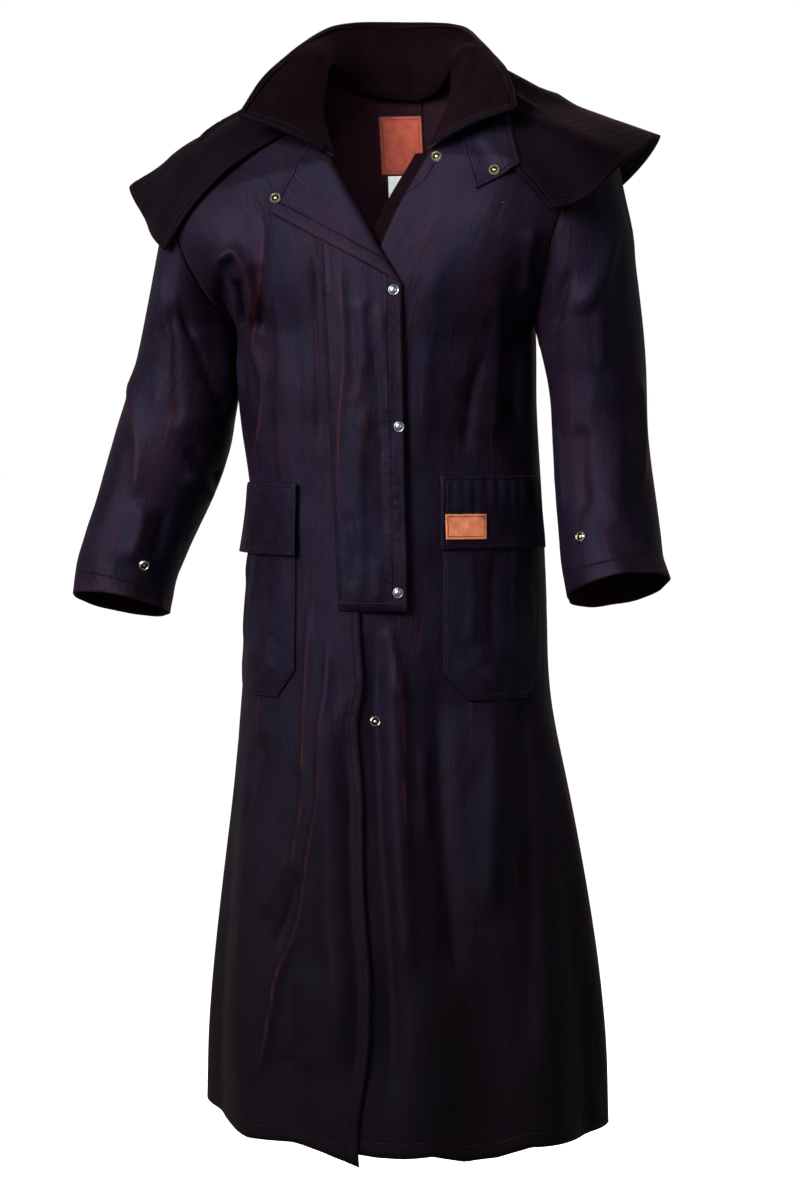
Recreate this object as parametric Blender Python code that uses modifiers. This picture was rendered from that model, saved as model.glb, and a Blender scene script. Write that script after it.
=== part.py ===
# A long caped riding coat in waxed cotton, worn open at the neck, with nobody in it.
# Metres, +Z up, front towards -Y, the wearer's left towards +X.
# The origin is the middle of the neck opening, level with the tops of the shoulder seams.
import math

import bpy
import numpy as np
from mathutils import Vector
from mathutils.bvhtree import BVHTree

MM = 0.001

# Driving dimensions, in millimetres
CLOTH = 1.6            # one waxed wall
FACING = 1.4           # the softer cloth inside the collar
FACING_GAP = 0.6       # between the collar and its facing
SEAM_GAP = 0.3         # between two pieces sewn edge to edge
SIDE_GAP = 0.9         # between the middles of two panels that turn where they meet
UNDERARM_GAP = 1.4     # the sleeve stands off by this much more under the arm
RIDGE_GAP = 1.2        # the same at the armhole and along the shoulder
LAY_GAP = 0.9          # between a panel and what is sewn flat on it
PANEL_COLUMNS = 13
ROWS_PER_KEY = 2
SLEEVE_SIDES = 24
NECK_MIDDLE_X = -5.0   # the neck opening sits a little off the coat's middle

TOWARDS_LEFT, TOWARDS_RIGHT = 1, -1
FRONT, BACK = -1, 1

# A key row of a panel runs from its inner edge (centre line, then neck) to its outer edge
# (side seam, then armhole). The last row is the shoulder seam. in_x and out_x are outwards
# from the middle on the wearer's own side. turn_in and turn_out are the cloth's heading at
# the row's two ends: 0 is straight outwards, 90 is straight round to the other side.
PANEL_COLUMN_NAMES = ("in_x", "in_y", "in_z", "out_x", "out_y", "out_z", "turn_in", "turn_out")
FRONT_LEFT_ROWS = {
    "hem":        (-12, -187, -1301, 262, 8, -1291, 0, 90),
    "shin":       (-15, -177, -1163, 257, 8, -1163, 0, 90),
    "knee":       (-20, -160, -1017, 237, 8, -1017, 0, 90),
    "thigh":      (-26, -143, -872, 209, 8, -872, 0, 90),
    "seat":       (-30, -133, -770, 187, 8, -770, 0, 90),
    "hip":        (-31, -128, -660, 184, 8, -660, 0, 90),
    "waist":      (-31, -126, -540, 178, 8, -540, 0, 90),
    "rib":        (-31, -127, -440, 171, 8, -440, 0, 90),
    "underarm":   (-22, -127, -326, 168, 6, -326, 0, 90),
    "arm_low":    (2, -122, -246, 190, -58, -272, 0, 62),
    "arm_front":  (32, -112, -180, 210, -84, -208, 0, 40),
    "neck_end":   (61, -98, -126, 234, -72, -150, -4, 22),
    "collarbone": (77, -56, -74, 252, -38, -108, -14, 14),
    "shoulder":   (76, 2, -1, 262, 0, -86, 0, 0),
}
FRONT_RIGHT_ROWS = {
    "hem":        (2, -191, -1299, 238, 8, -1270, 0, 90),
    "shin":       (4, -181, -1163, 235, 8, -1163, 0, 90),
    "knee":       (5, -164, -1017, 220, 8, -1017, 0, 90),
    "thigh":      (7, -147, -872, 202, 8, -872, 0, 90),
    "seat":       (8, -137, -770, 193, 8, -770, 0, 90),
    "hip":        (8, -132, -660, 185, 8, -660, 0, 90),
    "waist":      (8, -130, -540, 178, 8, -540, 0, 90),
    "rib":        (8, -131, -440, 194, 8, -440, 0, 90),
    "underarm":   (9, -130, -326, 198, 6, -328, 0, 90),
    "arm_low":    (19, -125, -252, 224, -58, -282, 0, 62),
    "arm_front":  (34, -114, -196, 247, -84, -228, 0, 40),
    "neck_end":   (56, -98, -137, 262, -74, -176, -4, 22),
    "collarbone": (80, -56, -84, 268, -40, -134, -14, 14),
    "shoulder":   (88, 2, -5, 268, 0, -108, 0, 0),
}
# Rows of the finished grids at which the neck seam starts
FRONT_NECK, BACK_NECK = 11 * ROWS_PER_KEY, 12 * ROWS_PER_KEY
# How far up the cloth each key row lies; all four panels share it, so their seams match.
ROW_PLACES = {
    "hem": 0, "shin": 131, "knee": 277, "thigh": 422, "seat": 524, "hip": 634, "waist": 754, "rib": 854,
    "underarm": 968, "arm_low": 1040, "arm_front": 1106, "neck_end": 1160, "collarbone": 1206, "nape": 1234,
    "shoulder": 1262,
}
# The back's centre line, and its armhole; below the underarm its outer edge is the front's.
BACK_CENTRE = {
    "hem": (0, 190, -1290), "shin": (0, 178, -1163), "knee": (0, 160, -1017), "thigh": (0, 143, -872),
    "seat": (0, 129, -770), "hip": (0, 113, -660), "waist": (0, 104, -540), "rib": (0, 112, -440),
    "underarm": (0, 125, -326),
}
BACK_LEFT_TOP = {
    "arm_low":    (3, 127, -246, 193, 66, -262, 0, 62),
    "arm_front":  (4, 120, -166, 214, 86, -200, 0, 40),
    "neck_end":   (5, 104, -84, 238, 68, -142, 0, 22),
    "collarbone": (6, 88, -30, 254, 34, -102, 0, 14),
    "nape":       (40, 66, -20, 259, 15, -92, 12, 6),
    "shoulder":   (76, 2, -1, 262, 0, -86, 0, 0),
}
BACK_RIGHT_TOP = {
    "arm_low":    (-3, 127, -246, 226, 68, -274, 0, 62),
    "arm_front":  (-4, 120, -166, 249, 86, -218, 0, 40),
    "neck_end":   (-5, 104, -84, 263, 68, -168, 0, 22),
    "collarbone": (-6, 88, -30, 267, 34, -128, 0, 14),
    "nape":       (52, 66, -22, 268, 15, -116, 12, 6),
    "shoulder":   (88, 2, -5, 268, 0, -108, 0, 0),
}

# Largest folds: where each runs across its panel (0 at the inner edge, 1 at the outer) at its
# top and its bottom, the heights between which it shows, its half width and its depth in mm.
# A positive depth stands out as a ridge.
FOLD_COLUMN_NAMES = ("panel", "at_top", "at_bottom", "top_z", "bottom_z", "half_width", "depth")
FOLDS = (
    ("front_right", 0.62, 0.40, -690, -1330, 0.10, 10.0),
    ("front_right", 0.38, 0.20, -640, -1330, 0.09, -8.0),
    ("front_right", 0.80, 0.68, -760, -1330, 0.10, -9.0),
    ("front_right", 0.30, 0.36, -300, -640, 0.09, 4.0),
    ("front_right", 0.16, 0.28, -380, -660, 0.08, -4.0),
    ("front_right", 0.86, 0.66, -210, -520, 0.09, -9.0),
    ("front_right", 0.70, 0.56, -200, -520, 0.08, 6.0),
    ("front_left", 0.30, 0.24, -330, -700, 0.09, 3.5),
    ("front_left", 0.22, 0.18, -680, -1330, 0.09, 8.0),
    ("front_left", 0.40, 0.38, -700, -1330, 0.09, -7.0),
    ("front_left", 0.58, 0.60, -740, -1330, 0.10, 9.0),
    ("front_left", 0.80, 0.82, -780, -1330, 0.09, -8.0),
    ("front_left", 0.84, 0.72, -210, -460, 0.09, -7.0),
    ("back_right", 0.20, 0.24, -620, -1330, 0.08, 10.0),
    ("back_right", 0.42, 0.46, -660, -1330, 0.09, -11.0),
    ("back_right", 0.66, 0.68, -640, -1330, 0.09, 11.0),
    ("back_right", 0.88, 0.88, -700, -1330, 0.08, -8.0),
    ("back_right", 0.80, 0.62, -190, -520, 0.09, -7.0),
    ("back_left", 0.16, 0.20, -640, -1330, 0.08, 9.0),
    ("back_left", 0.38, 0.42, -620, -1330, 0.09, -10.0),
    ("back_left", 0.62, 0.66, -680, -1330, 0.09, 10.0),
    ("back_left", 0.84, 0.86, -720, -1330, 0.08, -8.0),
    ("back_left", 0.78, 0.60, -190, -500, 0.09, -7.0),
)

# A sleeve ring: its middle, its half width across and front to back, and how far the arm's
# line leans outwards and forwards there, in degrees. x is outwards.
SLEEVE_COLUMN_NAMES = ("x", "y", "z", "across", "deep", "lean_out", "lean_fore")
SLEEVE_LEFT_RINGS = {
    "upper":   (240, -2, -348, 63, 77, 0, 0),
    "bicep":   (249, -3, -397, 57, 74, 2, 1),
    "elbow":   (249, -7, -452, 56, 70, 4, 5),
    "forearm": (257, -15, -510, 58, 67, 8, 11),
    "low_arm": (265, -30, -566, 60, 65, 9, 15),
    "wrist":   (273, -47, -614, 60, 63, 11, 17),
    "cuff":    (280, -58, -637, 61, 62, 13, 18),
}
SLEEVE_RIGHT_RINGS = {
    "upper":   (262, -2, -352, 57, 79, 2, 0),
    "bicep":   (265, -3, -398, 64, 77, 6, 1),
    "elbow":   (276, -6, -452, 73, 74, 12, 5),
    "forearm": (294, -14, -512, 68, 71, 18, 10),
    "low_arm": (318, -26, -571, 59, 67, 20, 14),
    "wrist":   (333, -40, -632, 60, 62, 14, 16),
    "cuff":    (335, -48, -662, 59, 60, 7, 16),
}
# Sleeve folds: where round the sleeve (0 outside, 90 front, 180 inside, 270 back), how far
# down it at its two ends (0 armhole, 1 cuff), its half widths round and along, and its depth.
SLEEVE_FOLD_COLUMN_NAMES = ("side", "round_to", "down", "half_round", "half_down", "depth")
SLEEVE_FOLDS = (
    ("right", 140, 0.62, 70, 0.035, -6.0),
    ("right", 150, 0.52, 80, 0.035, 5.0),
    ("right", 160, 0.42, 60, 0.030, -5.0),
    ("right", 75, 0.30, 26, 0.160, -5.0),
    ("right", 255, 0.50, 60, 0.050, -5.0),
    ("left", 150, 0.44, 70, 0.035, -5.0),
    ("left", 120, 0.34, 60, 0.040, 4.0),
    ("left", 95, 0.62, 70, 0.040, -4.0),
    ("left", 60, 0.26, 26, 0.150, -4.0),
    ("left", 260, 0.52, 60, 0.050, -5.0),
    ("left", 0, 0.17, 65, 0.100, 9.0),
)

# The shoulder cape, from the wearer's right front edge round the back to the left one:
# how far along the neck seam it starts, then its middle and its hem. The neck seam runs
# from the right front (0) round the back to the left front (1). x is in the coat's frame.
CAPE_COLUMN_NAMES = ("along_neck", "mid_x", "mid_y", "mid_z", "hem_x", "hem_y", "hem_z")
CAPE_ROWS = {
    "right_edge":       (0.13, -188, -98, -144, -262, -92, -236),
    "right_front":      (0.19, -210, -74, -112, -284, -64, -216),
    "right_side":       (0.27, -222, 0, -82, -336, 6, -148),
    "right_blade":      (0.34, -204, 84, -92, -296, 100, -174),
    "right_back":       (0.42, -124, 126, -98, -186, 148, -210),
    "back":             (0.50, -4, 134, -110, 0, 150, -240),
    "left_back":        (0.58, 124, 126, -90, 184, 148, -198),
    "left_blade":       (0.66, 194, 84, -78, 268, 104, -144),
    "left_side":        (0.73, 210, 0, -62, 319, -4, -104),
    "left_front":       (0.81, 206, -74, -94, 288, -80, -140),
    "left_front_wave":  (0.84, 184, -92, -114, 248, -104, -182),
    "left_edge":        (0.87, 150, -100, -138, 203, -94, -200),
}
CAPE_NECK_SET_BACK = 11.0  # from the neck seam out to the cape's own edge
CAPE_CLEAR_NECK, CAPE_CLEAR_HEM = 1.3, 3.4

# The collar, end to end round the neck: how far along the neck seam, and its top edge. It
# stands at the back and is opened out flat at both ends.
COLLAR_COLUMN_NAMES = ("along_neck", "top_x", "top_y", "top_z")
COLLAR_ROWS = {
    "right_end":   (0.00, -166, -110, -78),
    "right_leaf":  (0.12, -150, -54, -28),
    "right_side":  (0.22, -136, -4, 3),
    "right_turn":  (0.31, -120, 38, 29),
    "right_back":  (0.39, -96, 78, 51),
    "back":        (0.50, -12, 106, 57),
    "left_back":   (0.61, 68, 78, 45),
    "left_turn":   (0.69, 96, 38, 22),
    "left_side":   (0.78, 119, -4, -2),
    "left_leaf":   (0.88, 144, -54, -28),
    "left_end":    (1.00, 166, -110, -78),
}
COLLAR_STAND = 7.0     # how far the collar's middle bows in towards the neck
COLLAR_EDGE = 6.0      # the facing stops this short of the collar's edge
# Where the collar's lower edge lies off the neck seam: inside it, lower at the back and
# higher at the sides, and in front just past it and above it, most at the right, where the
# lapel passes under.
COLLAR_INSET, COLLAR_DROP, COLLAR_RISE = 5.2, 3.0, 2.4
COLLAR_PERCH, LAPEL_PERCH = 5.0, 6.0

# The storm flap is cut as one strip and folded back at the top as a lapel.
FLAP_SEWN_X = (-72.0, -40.0)      # its sewn edge, at the top and at the bottom
FLAP_FREE_X = (30.0, 42.0)        # its free edge, likewise
FLAP_TOP_Z, FLAP_BOTTOM_Z = -97.0, -662.0
FOLD_LOW = (29.0, -271.0)         # the lapel's crease, x and z of its two ends
FOLD_HIGH = (-54.0, -137.0)
LAPEL_LIFT = 4.2                  # between the middles of the flap's two layers
LAPEL_ROLL = 12.0                 # width of the soft turn at the crease
FLAP_ROW_CROWDING = 0.8           # below 1, the strip's rows lie closer together at the top
FLAP_RIM_MARGIN = 3.0             # how far inside the panel's rim the flap still lies on it
FLAP_FALL_BACK = 0.0009           # how fast it falls back past the rim, per mm squared

# Patch pockets, measured along the cloth from the centre front
POCKET_TOP_Z, POCKET_BOTTOM_Z = -520.0, -768.0
POCKET_WIDTH = 138.0
POCKET_CORNER = (28.0, 33.0)      # the cut corner, across and up
POCKET_FLAP_TOP_Z, POCKET_FLAP_BOTTOM_Z = -503.0, -590.0
POCKET_FROM_CENTRE = {"right": 102.0, "left": 82.0}
POCKET_FLAP_CURL = 8.0            # how far a flap's outer corner turns up
POCKET_BAG = 4.0                  # how far the pocket stands off in its middle
POCKET_FLAP_LIFT = 7.0            # how far a flap's lower edge stands off
POCKET_FLAP_OVERHANG = 4.0        # how far a flap reaches past its pocket at each side

# Corners seen from the front, from the top left one clockwise, and the two corners of each label
TAB_CORNERS = ((98.0, -112.0), (150.0, -88.0), (169.0, -146.0), (119.0, -171.0))
PATCH_CORNERS = ((82, -548), (126, -548), (127, -578), (83, -578))
NECK_LABEL_CORNERS = ((-42, -128), (12, -58))
CARE_LABEL_CORNERS = ((-34, -156), (-8, -130))
SNAP_RADIUS, SNAP_HEIGHT = 7.2, 3.2
SNAP_SIDES = 14


def clear_the_scene():
    for old in list(bpy.data.objects):
        bpy.data.objects.remove(old, do_unlink=True)


def collection_named(name):
    made = bpy.data.collections.new(name)
    bpy.context.scene.collection.children.link(made)
    return made


def finish_named(name, colour, roughness, metallic=0.0):
    made = bpy.data.materials.new(name)
    made.use_nodes = True
    shader = made.node_tree.nodes["Principled BSDF"]
    shader.inputs["Base Color"].default_value = (*colour, 1.0)
    shader.inputs["Roughness"].default_value = roughness
    shader.inputs["Metallic"].default_value = metallic
    return made


def spline(knots, values, at):
    """A smooth curve through values at knots, read at the places in at."""
    knots, values, at = (np.asarray(x, float) for x in (knots, values, at))
    slopes = np.gradient(values, knots, axis=0)
    i = np.clip(np.searchsorted(knots, at, side="right") - 1, 0, len(knots) - 2)
    step = knots[i + 1] - knots[i]
    s = ((at - knots[i]) / step)[:, None]
    step = step[:, None]
    return (
        (2 * s**3 - 3 * s**2 + 1) * values[i]
        + (s**3 - 2 * s**2 + s) * step * slopes[i]
        + (3 * s**2 - 2 * s**3) * values[i + 1]
        + (s**3 - s**2) * step * slopes[i + 1]
    )


def cornered_spline(knots, values, at, corner):
    """The same with a corner at one knot, so that what lies beyond it doesn't bend what lies before."""
    before = at <= knots[corner]
    return np.concatenate([
        spline(knots[:corner + 1], values[:corner + 1], at[before]),
        spline(knots[corner:], values[corner:], at[~before])])


def ease(x, low, high):
    """0 below low, 1 above high, and smooth between."""
    s = np.clip((np.asarray(x, float) - low) / (high - low), 0, 1)
    return s * s * (3 - 2 * s)


def outward_normals(grid, closed=False):
    """Unit normals of a grid of points, from its rows and columns."""
    if closed:
        across = np.roll(grid, -1, axis=1) - np.roll(grid, 1, axis=1)
    else:
        across = np.gradient(grid, axis=1)
    along = np.gradient(grid, axis=0)
    normal = np.cross(across, along)
    return normal / np.maximum(np.linalg.norm(normal, axis=2, keepdims=True), 1e-9)


def fold_depths(name, across, heights):
    """How far the largest folds stand out of a panel at each of its points, in mm."""
    total = np.zeros((len(heights), len(across)))
    for row in FOLDS:
        fold = dict(zip(FOLD_COLUMN_NAMES, row))
        if fold["panel"] != name:
            continue
        down = (fold["top_z"] - heights) / (fold["top_z"] - fold["bottom_z"])
        middle = fold["at_top"] + (fold["at_bottom"] - fold["at_top"]) * np.clip(down, 0, 1)
        reaches_hem = fold["bottom_z"] < -1300
        strength = ease(down, 0.0, 0.75) if reaches_hem else ease(down, 0, 0.3) * ease(-down, -1, -0.7)
        shape = np.exp(-(((across[None, :] - middle[:, None]) / fold["half_width"]) ** 2))
        total += fold["depth"] * strength[:, None] * shape
    return total * (ease(across, 0, 0.06) * ease(-across, -1, -0.94))[None, :]


def panel_grid(name, rows, side, face, per_gap=ROWS_PER_KEY, columns=PANEL_COLUMNS, trim=True):
    """The middle of a panel's cloth: rows from the hem up, columns from its inner edge out."""
    keys = np.array(list(rows.values()), float)
    knots = np.array([ROW_PLACES[row] for row in rows], float)
    steps = np.linspace(0, len(keys) - 1, (len(keys) - 1) * per_gap + 1)
    places = np.interp(steps, np.arange(len(keys)), knots)
    if trim:
        places[-1] -= RIDGE_GAP
    order = list(rows)
    neck_corner = order.index("neck_end" if face == FRONT else "collarbone")
    inner = cornered_spline(knots, keys[:, 0:3], places, neck_corner)
    outer = cornered_spline(knots, keys[:, 3:6], places, order.index("underarm"))
    turns = np.radians(spline(knots, keys[:, 6:8], places).T)
    armhole = places > knots[order.index("underarm")]
    start = np.full(len(places), SEAM_GAP / 2 if trim else 0.0)
    end = np.where(armhole, RIDGE_GAP / 2, SIDE_GAP / 2) if trim else start * 0
    span = outer - inner
    length = np.linalg.norm(span, axis=1)
    reach = [abs(span[:, 0]), abs(span[:, 1])]
    tangents = []
    for turn in turns:
        pull = math.pi / 2 * (reach[0] * abs(np.cos(turn)) + reach[1] * abs(np.sin(turn)))
        tangents.append(np.stack([np.cos(turn) * pull, -face * np.sin(turn) * pull, span[:, 2]], 1))
    t = np.linspace(0, 1, columns)[None, :] * (1 - (start + end) / length)[:, None] + (start / length)[:, None]
    t = t[:, :, None]
    grid = (
        (2 * t**3 - 3 * t**2 + 1) * inner[:, None]
        + (t**3 - 2 * t**2 + t) * tangents[0][:, None]
        + (3 * t**2 - 2 * t**3) * outer[:, None]
        + (t**3 - t**2) * tangents[1][:, None]
    )
    grid[:, :, 0] *= side
    normals = outward_normals(grid)
    if side * face > 0:
        normals = -normals
    depths = fold_depths(name, np.linspace(0, 1, columns), grid[:, columns // 2, 2])
    return grid + normals * depths[:, :, None], normals


def armhole_loop(front, back, rows):
    """The armhole, from the shoulder down its front edge, under the arm and up its back edge."""
    first = list(rows).index("underarm") * ROWS_PER_KEY
    down_front = front[first:, -1][::-1]
    up_back = back[first + 1:, -1]
    return down_front, up_back


def resampled(line, count):
    """count points evenly spaced along a line of points, both ends kept."""
    travelled = np.concatenate([[0], np.cumsum(np.linalg.norm(np.diff(line, axis=0), axis=1))])
    return spline(travelled, line, np.linspace(0, travelled[-1], count))


def sleeve_ring(ring, side, angles):
    """Points round one sleeve ring: 0 outside, 90 front, 180 inside, 270 back."""
    x, y, z, across, deep, lean_out, lean_fore = ring
    lean_out, lean_fore = math.radians(lean_out), math.radians(lean_fore)
    outwards = np.array([math.cos(lean_out), 0, math.sin(lean_out)])
    forwards = np.array([0, -math.cos(lean_fore), math.sin(lean_fore)])
    round_it = np.radians(angles)[:, None]
    points = np.array([x, y, z]) + outwards * across * np.cos(round_it) + forwards * deep * np.sin(round_it)
    return points * np.array([side, 1, 1])


def sleeve_grid(side, rings, front, back, rows, per_gap=2, sides=SLEEVE_SIDES, trim=True):
    """The middle of a sleeve's cloth: a closed row at the armhole and at each step down the arm."""
    name = "left" if side > 0 else "right"
    down_front, up_back = armhole_loop(front, back, rows)
    half = sides // 2
    loop = np.concatenate([resampled(down_front, half + 1), resampled(
        np.concatenate([down_front[-1:], up_back]), half + 1)[1:-1]])
    angles = np.arange(sides) * 360.0 / sides
    if trim:
        under = ease(-np.cos(np.radians(angles)), 0.5, 1.0)
        loop[:, 0] += side * (RIDGE_GAP + UNDERARM_GAP * under)
    keys = np.stack([loop] + [sleeve_ring(ring, side, angles) for ring in rings.values()])
    knots = np.concatenate([[0], np.cumsum(np.linalg.norm(np.diff(keys.mean(axis=1), axis=0), axis=1))])
    steps = np.linspace(0, len(keys) - 1, (len(keys) - 1) * per_gap + 1)
    # The long first stretch, from the armhole to the upper arm, has twice the rows.
    steps = np.unique(np.concatenate([steps, [0.25, 0.75]]))
    places = np.interp(steps, np.arange(len(keys)), knots)
    grid = spline(knots, keys.reshape(len(keys), -1), places).reshape(len(places), sides, 3)
    normals = outward_normals(grid, closed=True) * side
    depths = sleeve_fold_depths(name, angles, places / knots[-1])
    return grid + normals * depths[:, :, None], normals


def sleeve_fold_depths(name, angles, down):
    total = np.zeros((len(down), len(angles)))
    for row in SLEEVE_FOLDS:
        fold = dict(zip(SLEEVE_FOLD_COLUMN_NAMES, row))
        if fold["side"] != name:
            continue
        away = (angles - fold["round_to"] + 180) % 360 - 180
        shape = np.exp(-((away / fold["half_round"]) ** 2))[None, :]
        total += fold["depth"] * shape * np.exp(-(((down - fold["down"]) / fold["half_down"]) ** 2))[:, None]
    return total * ease(down, 0.05, 0.2)[:, None]


def neck_line(panels):
    """The neck seam, from the right front round the back to the left front."""
    neck = [
        np.concatenate([panels["front_" + side][FRONT_NECK:, 0], panels["back_" + side][BACK_NECK:-1, 0][::-1]])
        for side in ("right", "left")
    ]
    line = np.concatenate([neck[0], neck[1][::-1][1:]])
    travelled = np.concatenate([[0], np.cumsum(np.linalg.norm(np.diff(line, axis=0), axis=1))])
    return travelled / travelled[-1], line


def columns_of(table, count):
    """A table's rows read at count places, evenly spaced along the points in its last columns."""
    keys = np.array(list(table.values()), float)
    knots = np.concatenate([[0], np.cumsum(np.linalg.norm(np.diff(keys[:, -3:], axis=0), axis=1))])
    return spline(knots, keys, np.linspace(0, knots[-1], count))


def lofted(groups, steps):
    """A grid up through lines of points, which all have the same count."""
    keys = np.stack(groups)
    read = spline(np.linspace(0, 1, len(keys)), keys.reshape(len(keys), -1), np.linspace(0, 1, steps))
    return read.reshape(steps, -1, 3)


def on_neck(neck, along):
    """Places on the neck seam, whose line is straight from each of its points to the next."""
    travelled, line = neck
    return np.stack([np.interp(along, travelled, line[:, axis]) for axis in range(3)], axis=1)


def quads(rows, columns, closed=False):
    last = columns if closed else columns - 1
    return [
        (r * columns + c, r * columns + (c + 1) % columns,
         (r + 1) * columns + (c + 1) % columns, (r + 1) * columns + c)
        for r in range(rows - 1) for c in range(last)
    ]


def tree_of(*grids):
    """A search tree over open grids of points."""
    points, faces = [], []
    for grid in grids:
        first = len(points)
        points += [Vector(p) for p in grid.reshape(-1, 3)]
        faces += [tuple(first + i for i in face) for face in quads(*grid.shape[:2])]
    return BVHTree.FromPolygons(points, faces)


def below_shoulder(point):
    """A place inside the coat from which a point over the shoulders is seen from beneath."""
    return Vector((max(-215.0, min(215.0, point.x)) * 0.9, 5.0, point.z - 70.0))


def straight_behind(point):
    return Vector((point.x, 60.0, point.z))


def from_middle(point):
    return Vector((0.0, 0.0, point.z))


def kept_outside(grid, trees, gap, heart_of, finer=3):
    """The grid moved out from the coat's inside until it clears every surface by gap, which
    may differ from row to row. Places between the points are tried too."""
    rows, columns = grid.shape[:2]
    gaps = np.broadcast_to(np.asarray(gap, float), rows)
    pushes = np.zeros(((rows - 1) * finer + 1, (columns - 1) * finer + 1))
    for r, c in np.ndindex(*pushes.shape):
        r0, c0 = min(r // finer, rows - 2), min(c // finer, columns - 2)
        u, v = r / finer - r0, c / finer - c0
        place = (1 - u) * ((1 - v) * grid[r0, c0] + v * grid[r0, c0 + 1]) + u * (
            (1 - v) * grid[r0 + 1, c0] + v * grid[r0 + 1, c0 + 1])
        needed_gap = (1 - u) * gaps[r0] + u * gaps[r0 + 1]
        point = Vector(place)
        heart = heart_of(point)
        way = (point - heart).normalized()
        for tree in trees:
            hit, normal, _, _ = tree.ray_cast(heart + way * 400, -way)
            if hit is not None:
                needed = (hit - heart).dot(way) + needed_gap / max(0.5, abs(normal.dot(way)))
                pushes[r, c] = max(pushes[r, c], needed - (point - heart).dot(way))
    cleared = grid.copy()
    near = finer - 1
    for r, c in np.ndindex(rows, columns):
        window = pushes[max(0, r * finer - near):r * finer + near + 1, max(0, c * finer - near):c * finer + near + 1]
        point = Vector(grid[r, c])
        cleared[r, c] = point + (point - heart_of(point)).normalized() * window.max()
    return cleared


def sheet(name, grid, thickness, finish, home, closed=False, outwards=True):
    """One piece of cloth: the grid of its middle as an open surface, thickened both ways."""
    rows, columns = grid.shape[:2]
    faces = quads(rows, columns, closed)
    if not outwards:
        faces = [face[::-1] for face in faces]
    mesh = bpy.data.meshes.new(name)
    mesh.from_pydata([tuple(p * MM) for p in grid.reshape(-1, 3)], [], faces)
    mesh.shade_smooth()
    mesh.materials.append(finish)
    made = bpy.data.objects.new(name, mesh)
    home.objects.link(made)
    wall = made.modifiers.new("wall", "SOLIDIFY")
    wall.thickness = thickness * MM
    wall.offset = 0.0
    return made


def cast_front(tree, x, z):
    """The front surface of a tree at x and z: where it is, and its outward normal."""
    hit, normal, _, _ = tree.ray_cast(Vector((x, -600.0, z)), Vector((0, 1, 0)))
    if hit is None:
        hit, normal, _, _ = tree.find_nearest(Vector((x, -120.0, z)))
    return hit, (normal if normal.y < 0 else -normal)


def flap_plan(x, z):
    """A point of the storm flap's flat strip, folded back about the lapel's crease: its
    place seen from the front, and how far past the crease it lies."""
    low, high = np.array(FOLD_LOW), np.array(FOLD_HIGH)
    along = (high - low) / np.linalg.norm(high - low)
    past = np.array([-along[1], along[0]])
    if past[0] < 0:
        past = -past
    point = np.array([x, z])
    beyond = float((point - low) @ past)
    if beyond > 0:
        point = point - 2 * beyond * past
    return point, beyond


def storm_flap_grid(right_front, columns=11, rows=24):
    tree = tree_of(right_front)
    inner = right_front[:, 0]
    heights = FLAP_BOTTOM_Z + (FLAP_TOP_Z - FLAP_BOTTOM_Z) * np.linspace(0, 1, rows) ** FLAP_ROW_CROWDING
    grid = np.zeros((rows, columns, 3))
    for r, z in enumerate(heights):
        up = (z - FLAP_BOTTOM_Z) / (FLAP_TOP_Z - FLAP_BOTTOM_Z)
        sewn = FLAP_SEWN_X[1] + (FLAP_SEWN_X[0] - FLAP_SEWN_X[1]) * up
        free = FLAP_FREE_X[1] + (FLAP_FREE_X[0] - FLAP_FREE_X[1]) * up
        for c, x in enumerate(np.linspace(sewn, free, columns)):
            (px, pz), beyond = flap_plan(x, z)
            rim = float(np.interp(pz, inner[:, 2], inner[:, 0])) - FLAP_RIM_MARGIN
            grid[r, c] = flap_point(tree, px, pz, min(px, rim), beyond)
    return grid


def flap_point(tree, x, z, rim, beyond):
    """Where the storm flap's cloth lies over the right front, and on past that panel's rim."""
    lift = CLOTH + LAY_GAP + LAPEL_LIFT * float(ease(beyond, -LAPEL_ROLL / 2, LAPEL_ROLL / 2))
    hit, normal = cast_front(tree, rim, z)
    back = FLAP_FALL_BACK * max(0.0, x - rim) ** 2
    return (x + normal.x * lift, hit.y + back + normal.y * lift, z + normal.z * lift)


def wrapped_line(tree, side, z):
    """The coat's outline at height z from the front middle round one side, by length of cloth."""
    points = []
    for turn in np.radians(np.arange(0, 136, 2.5)):
        way = Vector((side * math.sin(turn), -math.cos(turn), 0))
        hit = tree.ray_cast(Vector((0, 0, z)) + way * 700, -way)[0]
        if hit is not None:
            points.append(tuple(hit))
    points = np.array(points)
    travelled = np.concatenate([[0], np.cumsum(np.linalg.norm(np.diff(points, axis=0), axis=1))])
    return travelled, points


def patch_grid(tree, side, outline, lift_at, rows, columns):
    """A patch sewn on the coat's side. outline gives its first and last length at each height,
    and lift_at how far the middle of its cloth stands off the panel's."""
    top, bottom, ends = outline
    grid = np.zeros((rows, columns, 3))
    for r, z in enumerate(np.linspace(bottom, top, rows)):
        travelled, points = wrapped_line(tree, side, z)
        first, last = ends(z)
        grid[r] = spline(travelled, points, np.linspace(first, last, columns))
    normals = outward_normals(grid)
    if side < 0:
        normals = -normals
    lift = np.array([[lift_at(r / (rows - 1), c / (columns - 1)) for c in range(columns)] for r in range(rows)])
    return grid + normals * lift[:, :, None]


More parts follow.
